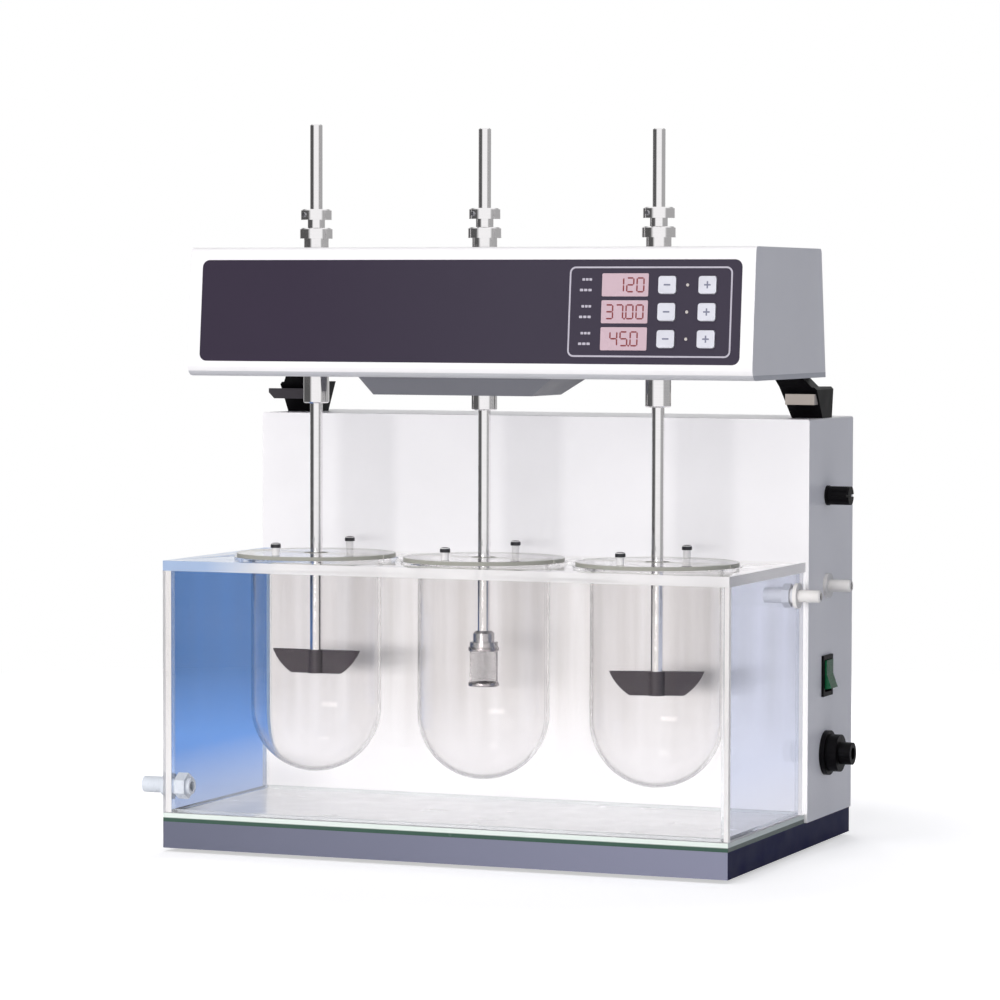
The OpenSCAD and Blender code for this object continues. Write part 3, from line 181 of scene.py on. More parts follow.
class TesterColours(bpy.types.PropertyGroup):
    """Colours of the finishes."""
    base_front: colour("Base", "Blue-grey paint of the base", srgb(107, 110, 127))
    # Painted light: the base's front is painted lighter towards its right
    base_light: colour("Base right", "Lighter paint towards the base's right", srgb(135, 137, 157))
    # Base ends: a darker paint with the shade of the unlit side painted into it
    base_side: colour("Base ends", "Dark paint of the base's ends", srgb(4, 12, 66))
    white: colour("White", "White powder coat of head and cabinet", srgb(244, 243, 245))
    fascia: colour("Fascia", "Dark film of the front panel", srgb(56, 49, 64))
    pane: colour("Display", "Pale pink display window", srgb(200, 175, 185))
    digit: colour("Digits", "Red-brown display digits", srgb(128, 52, 52))
    blue: colour("Blue sheet", "Tint of the bath's left end", srgb(92, 131, 190))
    clear: colour("Clear sheet", "Tint of the clear sheets", srgb(254, 254, 254))
    # Painted reflection: greyer streaks on the upper part of the clear sheets
    reflection_tint: colour("Haze", "Dried film on the upper part of the clear sheets", srgb(236, 234, 232))
    lilac: colour("Lilac sheet", "Tint of the bath's right end", srgb(208, 214, 230))
    steel: colour("Steel", "Polished stainless steel", srgb(242, 240, 241))
    black: colour("Black", "Black paint and plastic", srgb(9, 8, 10))
    coat: colour("Paddle coat", "Dark coat of the paddles", srgb(52, 46, 52))
    green: colour("Rocker", "Green rocker of the switch", srgb(10, 92, 56))


# Finishes

def math_node(tree, kind, *values):
    """A math node in a tree; each value is a number or a socket."""
    node = tree.nodes.new("ShaderNodeMath")
    node.operation = kind
    for socket, value in zip(node.inputs, values):
        if isinstance(value, (int, float)):
            socket.default_value = value
        else:
            tree.links.new(value, socket)
    return node.outputs[0]


def range_node(tree, source, low, high, to_low=0.0, to_high=1.0):
    """Maps a value from one span to another, held at the ends."""
    node = tree.nodes.new("ShaderNodeMapRange")
    node.clamp = True
    ends = {"From Min": low, "From Max": high, "To Min": to_low, "To Max": to_high}
    for key, value in ends.items():
        node.inputs[key].default_value = value
    tree.links.new(source, node.inputs["Value"])
    return node.outputs[0]


class Finish:
    """One node material, built up step by step."""

    def __init__(self, name):
        self.mat = bpy.data.materials.new(name)
        self.mat.use_nodes = True
        self.tree = self.mat.node_tree
        self.tree.nodes.clear()
        self.out = self.tree.nodes.new("ShaderNodeOutputMaterial")
        self.shader = self.tree.nodes.new("ShaderNodeBsdfPrincipled")
        self.join(self.shader.outputs[0], self.out.inputs[0])
        self.coords = self.tree.nodes.new("ShaderNodeTexCoord")
        self.axes = None

    def join(self, source, target):
        self.tree.links.new(source, target)

    def put(self, **values):
        """Sets plain values on the shader's own sockets."""
        for key, value in values.items():
            socket = self.shader.inputs[key.replace("_", " ")]
            socket.default_value = (*value, 1) if isinstance(value, tuple) else value
        return self

    def noise(self, scale, detail=3.0, stretch=None):
        """Noise on object coordinates; stretch scales its axes."""
        node = self.tree.nodes.new("ShaderNodeTexNoise")
        node.inputs["Scale"].default_value = scale
        node.inputs["Detail"].default_value = detail
        source = self.coords.outputs["Object"]
        if stretch:
            mapping = self.tree.nodes.new("ShaderNodeMapping")
            mapping.inputs["Scale"].default_value = stretch
            self.join(source, mapping.inputs["Vector"])
            source = mapping.outputs[0]
        self.join(source, node.inputs["Vector"])
        return node.outputs[0]

    def axis(self, letter):
        """One object coordinate."""
        if self.axes is None:
            self.axes = self.tree.nodes.new("ShaderNodeSeparateXYZ")
            self.join(self.coords.outputs["Object"], self.axes.inputs[0])
        return self.axes.outputs[letter]

    def span(self, source, low, high, to_low=0.0, to_high=1.0):
        return range_node(self.tree, source, low, high, to_low, to_high)

    def math(self, kind, first, second):
        return math_node(self.tree, kind, first, second)

    def blend(self, amount, first, second):
        """Mixes two colours, each a value or a socket."""
        node = self.tree.nodes.new("ShaderNodeMix")
        node.data_type = "RGBA"
        self.join(amount, node.inputs[0])
        for socket, value in ((node.inputs[6], first), (node.inputs[7], second)):
            if isinstance(value, tuple):
                socket.default_value = (*value, 1)
            else:
                self.join(value, socket)
        return node.outputs[2]

    def paint(self, source):
        self.join(source, self.shader.inputs["Base Color"])
        return self

    def coat(self):
        """The source that colours the finish so far."""
        return self.shader.inputs["Base Color"].links[0].from_socket

    def rough(self, source):
        self.join(source, self.shader.inputs["Roughness"])
        return self

    def relief(self, height, strength, depth):
        """Bump from a height source; depth is in metres."""
        node = self.tree.nodes.new("ShaderNodeBump")
        node.inputs["Strength"].default_value = strength
        node.inputs["Distance"].default_value = depth
        self.join(height, node.inputs["Height"])
        self.join(node.outputs[0], self.shader.inputs["Normal"])
        return self

    def facing(self, letter):
        """How far a face looks along an object axis, from 0 to 1."""
        node = self.tree.nodes.new("ShaderNodeSeparateXYZ")
        self.join(self.coords.outputs["Normal"], node.inputs[0])
        return self.math("ABSOLUTE", node.outputs[letter], 0.0)

    def grazing(self):
        """How far a face is seen edge on, from 0 to 1, for the painted dark rim of glass."""
        node = self.tree.nodes.new("ShaderNodeLayerWeight")
        node.inputs["Blend"].default_value = 0.5
        return node.outputs["Facing"]


def shade(value, factor):
    """A colour made lighter or darker by a factor."""
    return tuple(min(1.0, c * factor) for c in value)


def painted(name, tone, rough=0.42, peel=0.35):
    """Sprayed paint: faint cloudiness, orange peel and uneven gloss."""
    f = Finish(name)
    cloud = f.noise(9.0, 4.0)
    f.paint(f.blend(f.span(cloud, 0.3, 0.7), shade(tone, 0.965), shade(tone, 1.02)))
    f.rough(f.span(f.noise(40.0), 0.3, 0.7, rough - 0.05, rough + 0.06))
    f.relief(f.noise(700.0, 2.0), peel, 0.00015)
    return f


def moulded(name, tone, rough=0.45):
    """Moulded plastic with a fine spark-eroded grain."""
    f = Finish(name)
    f.paint(f.blend(f.span(f.noise(60.0), 0.3, 0.7), shade(tone, 0.94), shade(tone, 1.05)))
    f.rough(f.span(f.noise(300.0), 0.3, 0.7, rough - 0.06, rough + 0.08))
    f.relief(f.noise(1600.0, 2.0), 0.3, 0.0001)
    return f


def turned(name, tone, rough=0.16, lines=900.0, even=0.02):
    """Machined or polished metal with fine tool lines round its axis."""
    f = Finish(name).put(Metallic=1.0)
    grain = f.noise(lines, 2.0, (0.02, 0.02, 1.0))
    f.paint(f.blend(f.span(grain, 0.35, 0.65), shade(tone, 1 - 2 * even), shade(tone, 1 + even)))
    f.rough(f.span(f.noise(120.0), 0.3, 0.7, rough - 0.03, rough + 0.04))
    f.relief(grain, 0.03, 0.00002)
    return f


def clear_sheet(name, tone, plane, frost=0.0, rim=RIM_MILK, left=None, glow=0.0, reflection_tint=None,
                rim_left=None):
    """Clear cast sheet with milky sawn edges.

    plane is the axis across the sheet, rim the edges' colour, left the tint at the bath's
    left end, glow the strength of a painted glow on the edges that stands in for the light they
    pipe, haze the colour of the painted reflections that hang in streaks on the upper part,
    and rim_left the edges' colour at the left end."""
    f = Finish(name).put(IOR=SHEET_IOR, Coat_Weight=0.12, Coat_Roughness=0.03)
    edge = f.span(f.facing(plane), 0.4, 0.6, 1.0, 0.0)
    tint = tone
    if left:
        ends = f.blend(f.span(f.axis("X"), -0.01, 0.01, 1.0, 0.0), tone, left)
        tint = f.blend(f.span(f.axis("Z"), 0.03, 0.08, 0.4, 0.0), ends, RIM_MILK)
    if reflection_tint:
        # Painted reflection: the upper part of the sheets takes greyer vertical streaks for reflections, not a
        # real film
        streaks = f.span(f.noise(70.0, 3.0, (1.0, 1.0, 0.04)), 0.3, 0.7, 0.25, 1.0)
        film = f.math("MULTIPLY", streaks, f.span(f.axis("Z"), REFLECTION_FROM, REFLECTION_FULL))
        tint = f.blend(film, tone, reflection_tint)
    if rim_left:
        rim = f.blend(f.span(f.axis("X"), -0.2, -0.15, 1.0, 0.0), rim, rim_left)
    f.paint(f.blend(edge, tint, rim))
    smear = f.span(f.noise(14.0, 4.0), 0.45, 0.75, frost, frost + 0.03)
    f.rough(f.math("MAXIMUM", smear, f.math("MULTIPLY", edge, 0.4)))
    f.join(f.span(edge, 0.0, 1.0, 1.0, 0.3), f.shader.inputs["Transmission Weight"])
    # Painted light: the edges glow by emission for the light that sawn edges pipe, though they are no lamp
    if glow:
        f.put(Emission_Color=RIM_MILK)
        f.join(f.math("MULTIPLY", edge, glow), f.shader.inputs["Emission Strength"])
    return f


def floor_sheet():
    """Milky white sheet under the bath, greenish at its sawn edges."""
    f = Finish("floor_sheet").put(Coat_Weight=0.12, Coat_Roughness=0.15)
    edge = f.span(f.facing("Z"), 0.4, 0.6, 1.0, 0.0)
    milk = f.blend(f.span(f.noise(8.0, 4.0), 0.35, 0.7), srgb(249, 249, 250), srgb(252, 252, 252))
    lo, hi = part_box("tank_floor")
    half = (lo[2] + hi[2]) / 2
    layers = f.span(f.axis("Z"), half - 0.6 * MM, half + 0.2 * MM)
    side = f.blend(layers, srgb(58, 86, 74), srgb(226, 236, 230))
    f.paint(f.blend(edge, milk, side))
    f.rough(f.span(f.noise(30.0), 0.3, 0.7, 0.16, 0.28))
    return f


def build_finishes(colours):
    """All finishes by the record's slot, with special ones by node."""
    tone = {key: tuple(getattr(colours, key)) for key in TesterColours.__annotations__}
    slots = {}

    f = painted("base_paint", tone["base_front"], 0.38)
    lo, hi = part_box("base_tray")
    # Painted shade: both end faces take this dark navy, their own darker paint with painted shade on top
    ends = f.span(f.math("ABSOLUTE", f.axis("X"), 0.0), hi[0] - 0.4 * MM, hi[0] - 0.1 * MM)
    # Painted light: the front grows lighter from left to right, up to this lighter tone
    front = f.blend(f.span(f.axis("X"), lo[0], hi[0]), f.coat(), tone["base_light"])
    f.paint(f.blend(ends, front, tone["base_side"])).put(Specular_IOR_Level=0.07)
    slots["base_paint"] = f

    slots["white_paint"] = painted("white_paint", tone["white"], 0.36, 0.3)
    slots["black_paint"] = painted("black_paint", tone["black"], 0.4, 0.4).put(Specular_IOR_Level=0.12)
    slots["pan_paint"] = painted("pan_paint", srgb(112, 113, 120), 0.45, 0.4)
    slots["sole_metal"] = painted("sole_paint", srgb(200, 201, 206), 0.4, 0.3)
    slots["dark_metal"] = painted("dark_metal", srgb(86, 88, 96), 0.4)
    film = painted("fascia_film", tone["fascia"], 0.34, 0.12).put(Specular_IOR_Level=0.12)
    # The film turns lighter towards the right
    lighter_rightwards = film.span(film.axis("X"), -0.15, 0.05)
    film.paint(film.blend(lighter_rightwards, film.coat(), srgb(63, 58, 71)))
    slots["fascia_film"] = film
    slots["board"] = moulded("board", srgb(40, 104, 66))
    slots["foot_rubber"] = moulded("foot_rubber", srgb(34, 34, 37), 0.8)
    slots["belt_rubber"] = moulded("belt_rubber", srgb(26, 26, 27), 0.75)
    slots["black_plastic"] = moulded("black_plastic", tone["black"], 0.4).put(Specular_IOR_Level=0.12)
    slots["white_plastic"] = moulded("white_plastic", srgb(232, 230, 228), 0.35)
    slots["drain_plastic"] = moulded("drain_plastic", srgb(214, 220, 228), 0.3)
    slots["key_plastic"] = moulded("key_plastic", srgb(214, 215, 224), 0.38)
    slots["green_plastic"] = painted("green_plastic", tone["green"], 0.25, 0.05)
    slots["paddle_coat"] = moulded("paddle_coat", tone["coat"], 0.42).put(Specular_IOR_Level=0.3)
    bars = painted("light_metal", srgb(180, 171, 163), 0.35, 0.05)
    # Painted shade: the bar on the left is painted dark for the shade it lies in; the right bar keeps the light
    # tone
    left_bar_painted_shade = bars.span(bars.axis("X"), -0.01, 0.01)
    bars.paint(bars.blend(left_bar_painted_shade, srgb(50, 46, 52), bars.coat()))
    slots["light_metal"] = bars
    slots["steel"] = turned("steel", srgb(186, 184, 186), 0.24)
    slots["polished_steel"] = turned("polished_steel", tone["steel"], 0.11, 1400.0, 0.01)

    slots["display_pane"] = painted("display_pane", tone["pane"], 0.25, 0.05)
    slots["lamp_lens"] = moulded("lamp_lens", srgb(196, 190, 186), 0.2)

    glass = Finish("vessel_glass").put(IOR=1.2, Transmission_Weight=1.0)
    # Painted reflection: glass seen edge on is painted dark for the dark surroundings seen through its edges, with
    # a little real absorption along the longer path
    painted_dark_rim = glass.span(glass.grazing(), 0.72, 0.95)
    glass.paint(glass.blend(painted_dark_rim, (0.97, 0.965, 0.965), srgb(132, 129, 128)))
    glass.rough(glass.span(glass.noise(18.0, 4.0), 0.5, 0.8, 0.0, 0.02))
    slots["vessel_glass"] = glass
    lids = clear_sheet("lid_clear", srgb(250, 249, 250), "Z", 0.02, srgb(168, 168, 160))
    lid_top = max(v.co.z for v in NODES["vessel_1"].data.vertices) + LID_THICK
    knobs = lids.span(lids.axis("Z"), lid_top + 0.1 * MM, lid_top + 0.4 * MM)
    lids.paint(lids.blend(knobs, lids.coat(), RIM_MILK))
    slots["lid_clear"] = lids

    special = {
        "tank_floor": floor_sheet(),
        "tank_front_wall": clear_sheet("front_sheet", tone["clear"], "Y", reflection_tint=tone["reflection_tint"]),
        # The rear sheet's edges get a painted glow
        "tank_rear_wall": clear_sheet("rear_sheet", tone["clear"], "Y", glow=0.6, reflection_tint=tone["reflection_tint"]),
        "tank_end_walls": clear_sheet("end_sheets", tone["lilac"], "X", left=tone["blue"]),
        "vessel_plate": clear_sheet("plate_sheet", tone["clear"], "Z", 0.04,
                                    rim_left=srgb(176, 196, 226)),
    }
    return slots, special


# Modelling helpers

def pass_light(piece):
    """A clear piece casts no shadow and takes no soft light from what is behind it."""
    piece.visible_shadow = False
    piece.visible_diffuse = False


def clear_selection():
    """Leaves edit mode and selects nothing."""
    if bpy.context.object and bpy.context.object.mode != "OBJECT":
        bpy.ops.object.mode_set(mode="OBJECT")
    bpy.ops.object.select_all(action="DESELECT")


def begin(name, add, **values):
    """Adds a primitive as a new piece and opens it in edit mode."""
    clear_selection()
    add(**values)
    piece = bpy.context.object
    piece.name = name
    piece.data.name = name
    bpy.ops.object.transform_apply(location=True, rotation=True, scale=True)
    bpy.ops.object.mode_set(mode="EDIT")
    bpy.ops.mesh.select_mode(type="VERT")
    bpy.ops.mesh.select_all(action="SELECT")
    return piece


def pick(piece, kind, test):
    """Selects the faces, edges or vertices of an open piece that pass a test."""
    bpy.ops.mesh.select_mode(type={"faces": "FACE", "edges": "EDGE", "verts": "VERT"}[kind])
    bpy.ops.mesh.select_all(action="DESELECT")
    shape = bmesh.from_edit_mesh(piece.data)
    found = 0
    for item in getattr(shape, kind):
        if test(item):
            item.select_set(True)
            found += 1
    shape.select_flush_mode()
    bmesh.update_edit_mesh(piece.data)
    if not found:
        raise RuntimeError("nothing picked on " + piece.name)


def top_face(z):
    """Test for faces that look up and lie at a height."""
    return lambda face: face.normal.z > 0.9 and abs(face.calc_center_median().z - z) < 1e-5


def rim_at(z):
    """Test for edges that lie flat at a height."""
    return lambda edge: all(abs(v.co.z - z) < 1e-5 for v in edge.verts)


def sharp_round_edge(edge):
    """Test for edges that lie flat between two faces at a sharp angle."""
    return abs(edge.verts[0].co.z - edge.verts[1].co.z) < 1e-6 and edge.calc_face_angle(0) > 1


def close(piece, finish, body, place=None, smooth=35):
    """Leaves edit mode, sets the piece in place, dresses it and lets it ride."""
    clear_selection()
    piece.select_set(True)
    bpy.context.view_layer.objects.active = piece
    if place is not None:
        piece.matrix_world = place
        bpy.ops.object.transform_apply(location=True, rotation=True, scale=True)
    if smooth:
        bpy.ops.object.shade_smooth_by_angle(angle=math.radians(smooth))
    piece.data.materials.clear()
    piece.data.materials.append(finish)
    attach(piece, body)
    return piece


def thicken(piece, amount):
    """Gives a flat piece a thickness on its upper side."""
    bpy.ops.object.mode_set(mode="OBJECT")
    mod = piece.modifiers.new("thickness", "SOLIDIFY")
    mod.thickness = amount
    mod.offset = 1.0
    bpy.ops.object.modifier_apply(modifier=mod.name)


def copies(piece, places):
    """Sets copies of a finished master at each place and joins them into it."""
    bpy.ops.object.mode_set(mode="OBJECT")
    master = piece.data.copy()
    clear_selection()
    twins = []
    for place in places[1:]:
        twin = bpy.data.objects.new(piece.name, master.copy())
        bpy.context.collection.objects.link(twin)
        twin.matrix_world = place
        twins.append(twin)
    piece.matrix_world = places[0]
    for item in twins + [piece]:
        item.select_set(True)
    bpy.context.view_layer.objects.active = piece
    bpy.ops.object.transform_apply(location=True, rotation=True, scale=True)
    if twins:
        bpy.ops.object.join()
    bpy.data.meshes.remove(master)
    return bpy.context.object


def front_place(u, v, out):
    """Place on the sloped front: u right, v up from the middle row, out of the film."""
    middle = (Vector(KEY_JOINTS[1]["pos_m"]) + Vector(KEY_JOINTS[4]["pos_m"])) / 2
    middle.x = 0
    slope = Matrix.Translation(middle) @ Matrix.Rotation(-FRONT_TILT, 4, "X")
    return slope @ Matrix.Translation((u, -out, v)) @ Matrix.Rotation(math.pi / 2, 4, "X")


# Rows and columns on the front, and how far film, windows and keys stand out
ROW_PITCH = (Vector(KEY_JOINTS[0]["pos_m"]) - Vector(KEY_JOINTS[1]["pos_m"])).length
KEY_COLUMNS = (KEY_JOINTS[0]["pos_m"][0], KEY_JOINTS[3]["pos_m"][0])
PANE_LOW, PANE_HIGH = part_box("display_windows")
PANE_X = (PANE_LOW[0] + PANE_HIGH[0]) / 2
FILM_OUT = -0.1 * MM
PANE_OUT = 0.2 * MM
KEY_OUT = 1.4 * MM

# Bars of each display sign: a to f run round it clockwise from the top, g is the middle one
SEGMENTS = {"0": "abcdef", "1": "bc", "2": "abged", "3": "abgcd", "4": "fgbc", "5": "afgcd",
            "6": "afgedc", "7": "abc", "8": "abcdefg", "9": "abcdfg", " ": "", "-": "g"}


class TESTER_OT_dress_solids(bpy.types.Operator):
    """Give every solid of the frame its finish"""
    bl_idname = "tester.dress_solids"
    bl_label = "Dress solids"

    def execute(self, context):
        slots, special = build_finishes(context.scene.tester_colours)
        wanted = {s["node"]: s["material_slot"] for s in frame["record"]["subparts"]}
        for name, node in NODES.items():
            finish = special.get(name) or slots[wanted[name]]
            for place in node.material_slots:
                place.material = finish.mat
            if wanted[name] in CLEAR_SLOTS and name != "tank_floor":
                pass_light(node)
        return {"FINISHED"}


class TESTER_OT_print_panel(bpy.types.Operator):
    """Print the line round the controls and the short label bars"""
    bl_idname = "tester.print_panel"
    bl_label = "Print panel"

    def execute(self, context):
        s = context.scene.tester_sizes
        ink = painted("panel_ink", srgb(186, 182, 194), 0.5, 0.1).mat
        line = begin("panel_line", bpy.ops.mesh.primitive_plane_add, size=1)
        bpy.ops.transform.resize(value=(s.print_right - s.print_left, s.print_height, 1))
        bpy.ops.mesh.select_mode(type="VERT")
        bpy.ops.mesh.bevel(offset=LINE_CORNER, segments=6, affect="VERTICES")
        bpy.ops.mesh.select_mode(type="FACE")
        bpy.ops.mesh.select_all(action="SELECT")
        bpy.ops.mesh.inset(thickness=s.print_line)
        bpy.ops.mesh.delete(type="FACE")
        thicken(line, INK_THICK)
        place = front_place((s.print_left + s.print_right) / 2, 0, FILM_OUT)
        close(line, ink, "frame", place, 0)

        bars = begin("panel_labels", bpy.ops.mesh.primitive_plane_add, size=1)
        bpy.ops.mesh.delete(type="VERT")
        for row in range(3):
            for up, wide in LABEL_LINES:
                left = PANE_LOW[0] - LABEL_GAP - wide
                word = wide / LABEL_WORDS
                for part in range(LABEL_WORDS):
                    bpy.ops.mesh.primitive_plane_add(
                        size=1, location=(left + (part + 0.5) * word, (1 - row) * ROW_PITCH + up, 0))
                    bpy.ops.transform.resize(value=(word * LABEL_FILL, LABEL_HIGH, 1))
                    bpy.ops.mesh.bevel(offset=0.35 * MM, segments=2, affect="VERTICES")
        thicken(bars, INK_THICK)
        close(bars, ink, "frame", front_place(0, 0, FILM_OUT), 0)
        return {"FINISHED"}


class TESTER_OT_light_digits(bpy.types.Operator):
    """Set bar digits on the three displays"""
    bl_idname = "tester.light_digits"
    bl_label = "Light digits"

    def execute(self, context):
        s = context.scene.tester_sizes
        ink = painted("digit_bars", tuple(context.scene.tester_colours.digit), 0.4, 0.05).mat
        high, wide, bar = s.digit_height, s.digit_width, s.segment_width
        long, tall = wide - 0.6 * bar, high / 2 - 0.3 * bar
        spots = {"a": (0, high / 2, 1), "g": (0, 0, 1), "d": (0, -high / 2, 1),
                 "f": (-wide / 2, high / 4, 0), "b": (wide / 2, high / 4, 0),
                 "e": (-wide / 2, -high / 4, 0), "c": (wide / 2, -high / 4, 0)}
        for row, text in enumerate((s.rod_speed, s.bath_heat, s.test_time)):
            piece = begin("digits_%d" % (row + 1), bpy.ops.mesh.primitive_plane_add, size=1)
            bpy.ops.mesh.delete(type="VERT")
            cells = []
            for letter in text:
                if letter == "." and cells:
                    cells[-1] += "."
                else:
                    cells.append(letter)
            for index, cell in enumerate(cells):
                x = (index - (len(cells) - 1) / 2) * s.digit_pitch
                for key in SEGMENTS[cell[0]]:
                    dx, dy, flat = spots[key]
                    bpy.ops.mesh.primitive_plane_add(size=1, location=(x + dx, dy, 0))
                    bpy.ops.transform.resize(value=(long, bar, 1) if flat else (bar, tall, 1))
                    bpy.ops.mesh.bevel(offset=bar * 0.45, segments=1, affect="VERTICES")
                if cell.endswith("."):
                    bpy.ops.mesh.primitive_circle_add(
                        vertices=12, radius=bar * 0.65, fill_type="NGON",
                        location=(x + s.digit_pitch / 2, -high / 2, 0))
            thicken(piece, DIGIT_THICK)
            place = front_place(PANE_X, (1 - row) * ROW_PITCH, PANE_OUT)
            close(piece, ink, "frame", place, 0)
        return {"FINISHED"}


class TESTER_OT_mark_keys(bpy.types.Operator):
    """Print a plain sign on each key"""
    bl_idname = "tester.mark_keys"
    bl_label = "Mark keys"

    def execute(self, context):
        ink = painted("key_ink", srgb(120, 122, 142), 0.5, 0.1).mat
        for k in range(6):
            column, row = divmod(k, 3)
            sign = begin("key_sign_%d" % (k + 1), bpy.ops.mesh.primitive_plane_add, size=1)
            bpy.ops.transform.resize(value=(SIGN_LONG, SIGN_LINE, 1))
            bpy.ops.mesh.bevel(offset=0.3 * MM, segments=2, affect="VERTICES")
            for up in (SIGN_ARM_OUT, -SIGN_ARM_OUT) if column else ():
                bpy.ops.mesh.primitive_plane_add(size=1, location=(0, up, 0))
                bpy.ops.transform.resize(value=(SIGN_LINE, SIGN_ARM, 1))
            thicken(sign, SIGN_THICK)
            place = front_place(KEY_COLUMNS[column], (1 - row) * ROW_PITCH, KEY_OUT)
            close(sign, ink, "key_%d" % (k + 1), place, 0)
        return {"FINISHED"}


class TESTER_OT_cap_knobs(bpy.types.Operator):
    """Put a dark rounded cap on each lid knob"""
    bl_idname = "tester.cap_knobs"
    bl_label = "Cap knobs"

    def execute(self, context):
        s = context.scene.tester_sizes
        dark = moulded("knob_cap", srgb(44, 44, 48), 0.35).mat
        for i in STATIONS:
            for half in ("front", "rear"):
                name = "lid_%d_%s" % (i, half)
                lo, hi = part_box(name)
                node = NODES[name]
                tips = [node.matrix_world @ v.co for v in node.data.vertices]
                tips = [tip for tip in tips if tip.z > hi[2] - 0.05 * MM]
                x, y = (min(t[k] for t in tips) / 2 + max(t[k] for t in tips) / 2 for k in (0, 1))
                z = hi[2] - CAP_HIGH / 2 + CAP_OVER
                cap = begin("knob_cap_%d_%s" % (i, half), bpy.ops.mesh.primitive_cylinder_add,
                            vertices=32, radius=s.cap_radius, depth=CAP_HIGH, location=(x, y, z))
                pick(cap, "edges", rim_at(z + CAP_HIGH / 2))
                bpy.ops.mesh.bevel(offset=CAP_ROUND, segments=5)
                pick(cap, "faces", top_face(z + CAP_HIGH / 2))
                bpy.ops.mesh.inset(thickness=CAP_RIM)
                bpy.ops.transform.translate(value=(0, 0, -CAP_DISH))
                close(cap, dark, name)
        return {"FINISHED"}


class TESTER_OT_weave_basket(bpy.types.Operator):
    """Weave the wire basket with its two rings"""
    bl_idname = "tester.weave_basket"
    bl_label = "Weave basket"

    def execute(self, context):
        s = context.scene.tester_sizes
        wire = turned("basket_wire", srgb(176, 172, 174), 0.25).mat
        lo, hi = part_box("basket_screen")
        x, y = ROD_AXES[2]
        radius = (hi[0] - lo[0]) / 2
        step = (hi[2] - lo[2] - 2 * WIRE_END) / s.wire_rows
        mesh = begin("basket_wires", bpy.ops.mesh.primitive_circle_add, vertices=s.wire_columns,
                     radius=radius - WIRE_IN, fill_type="NOTHING", location=(x, y, lo[2] + WIRE_END))
        for _ in range(s.wire_rows):
            bpy.ops.mesh.extrude_region_move(TRANSFORM_OT_translate={"value": (0, 0, step)})
        bpy.ops.mesh.select_all(action="SELECT")
        bpy.ops.mesh.normals_make_consistent(inside=False)
        bpy.ops.object.mode_set(mode="OBJECT")
        mod = mesh.modifiers.new("wires", "WIREFRAME")
        mod.thickness = s.wire
        mod.use_even_offset = False
        bpy.ops.object.modifier_apply(modifier=mod.name)
        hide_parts("basket_screen")
        close(mesh, wire, "stirrer_2")
        for name, z in (("basket_ring_low", lo[2]), ("basket_ring_high", hi[2] - RING_HIGH)):
            band = begin(name, bpy.ops.mesh.primitive_cylinder_add, vertices=64, radius=radius,
                         depth=RING_HIGH, location=(x, y, z + RING_HIGH / 2))
            if name == "basket_ring_high":
                pick(band, "faces", lambda f: abs(f.normal.z) > 0.9)
                bpy.ops.mesh.inset(thickness=RING_WIDE)
                bpy.ops.mesh.bridge_edge_loops()
            else:
                pick(band, "faces", top_face(z + RING_HIGH))
                bpy.ops.mesh.inset(thickness=RING_WIDE)
                bpy.ops.transform.translate(value=(0, 0, -RING_DEEP))
            pick(band, "edges", sharp_round_edge)
            bpy.ops.mesh.bevel(offset=RING_ROUND, segments=2)
            close(band, wire, "stirrer_2")
        return {"FINISHED"}


class TESTER_OT_drive_screws(bpy.types.Operator):
    """Fasten the rear cover, the sole and the clutch rings with small screws"""
    bl_idname = "tester.drive_screws"
    bl_label = "Drive screws"

    def master(self, name, radius, high):
        """A domed socket screw standing on the origin."""
        screw = begin(name, bpy.ops.mesh.primitive_cylinder_add, vertices=24, radius=radius, depth=high,
                      location=(0, 0, high / 2))
        pick(screw, "edges", rim_at(high))
        bpy.ops.mesh.bevel(offset=high * 0.45, segments=3)
        pick(screw, "faces", top_face(high))
        bpy.ops.mesh.inset(thickness=radius * 0.22)
        bpy.ops.mesh.extrude_region_move(TRANSFORM_OT_translate={"value": (0, 0, -high * 0.5)})
        return screw

    def execute(self, context):
        s = context.scene.tester_sizes
        zinc = turned("screw_zinc", srgb(170, 170, 174), 0.3).mat
        lo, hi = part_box("cabinet_rear_cover")
        back = Matrix.Rotation(-math.pi / 2, 4, "X")
        left, right = lo[0] + COVER_EDGE, hi[0] - COVER_EDGE
        low, high = lo[2] + COVER_EDGE, hi[2] - COVER_EDGE
        spots = [(x, z) for x in (left, 0, right) for z in (low, high)]
        spots += [(x, (lo[2] + hi[2]) / 2) for x in (left, right)]
        cover = copies(self.master("cover_screws", s.screw_radius, COVER_SCREW_HIGH),
                       [Matrix.Translation((x, hi[1], z)) @ back for x, z in spots])
        close(cover, zinc, "frame")

        down = Matrix.Rotation(math.pi, 4, "X")
        y0, y1 = SOLE_LOW[1] + SOLE_FRONT, SOLE_HIGH[1] - SOLE_REAR
        spots = [(-SOLE_OUTER, y0), (-SOLE_INNER, y0), (-SOLE_INNER, y1),
                 (SOLE_INNER, y0), (SOLE_INNER, y1), (SOLE_OUTER, y0)]
        sole = copies(self.master("sole_screws", SOLE_SCREW_RADIUS, SOLE_SCREW_HIGH),
                      [Matrix.Translation((x, y, SOLE_LOW[2])) @ down for x, y in spots])
        close(sole, zinc, "frame")

        sideways = Matrix.Rotation(math.pi / 2, 4, "X")
        for i in STATIONS:
            lo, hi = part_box("clutch_ring_%d" % i)
            out = (hi[0] - lo[0]) / 2 - GRUB_SUNK
            x, y = ROD_AXES[i]
            grub = self.master("grub_%d" % i, GRUB_RADIUS, GRUB_HIGH)
            side = Matrix.Rotation(GRUB_TURN, 4, "Z") @ Matrix.Translation((0, -out, 0))
            place = Matrix.Translation((x, y, hi[2] - GRUB_DOWN)) @ side @ sideways
            close(grub, zinc, "stirrer_%d" % i, place)
        return {"FINISHED"}


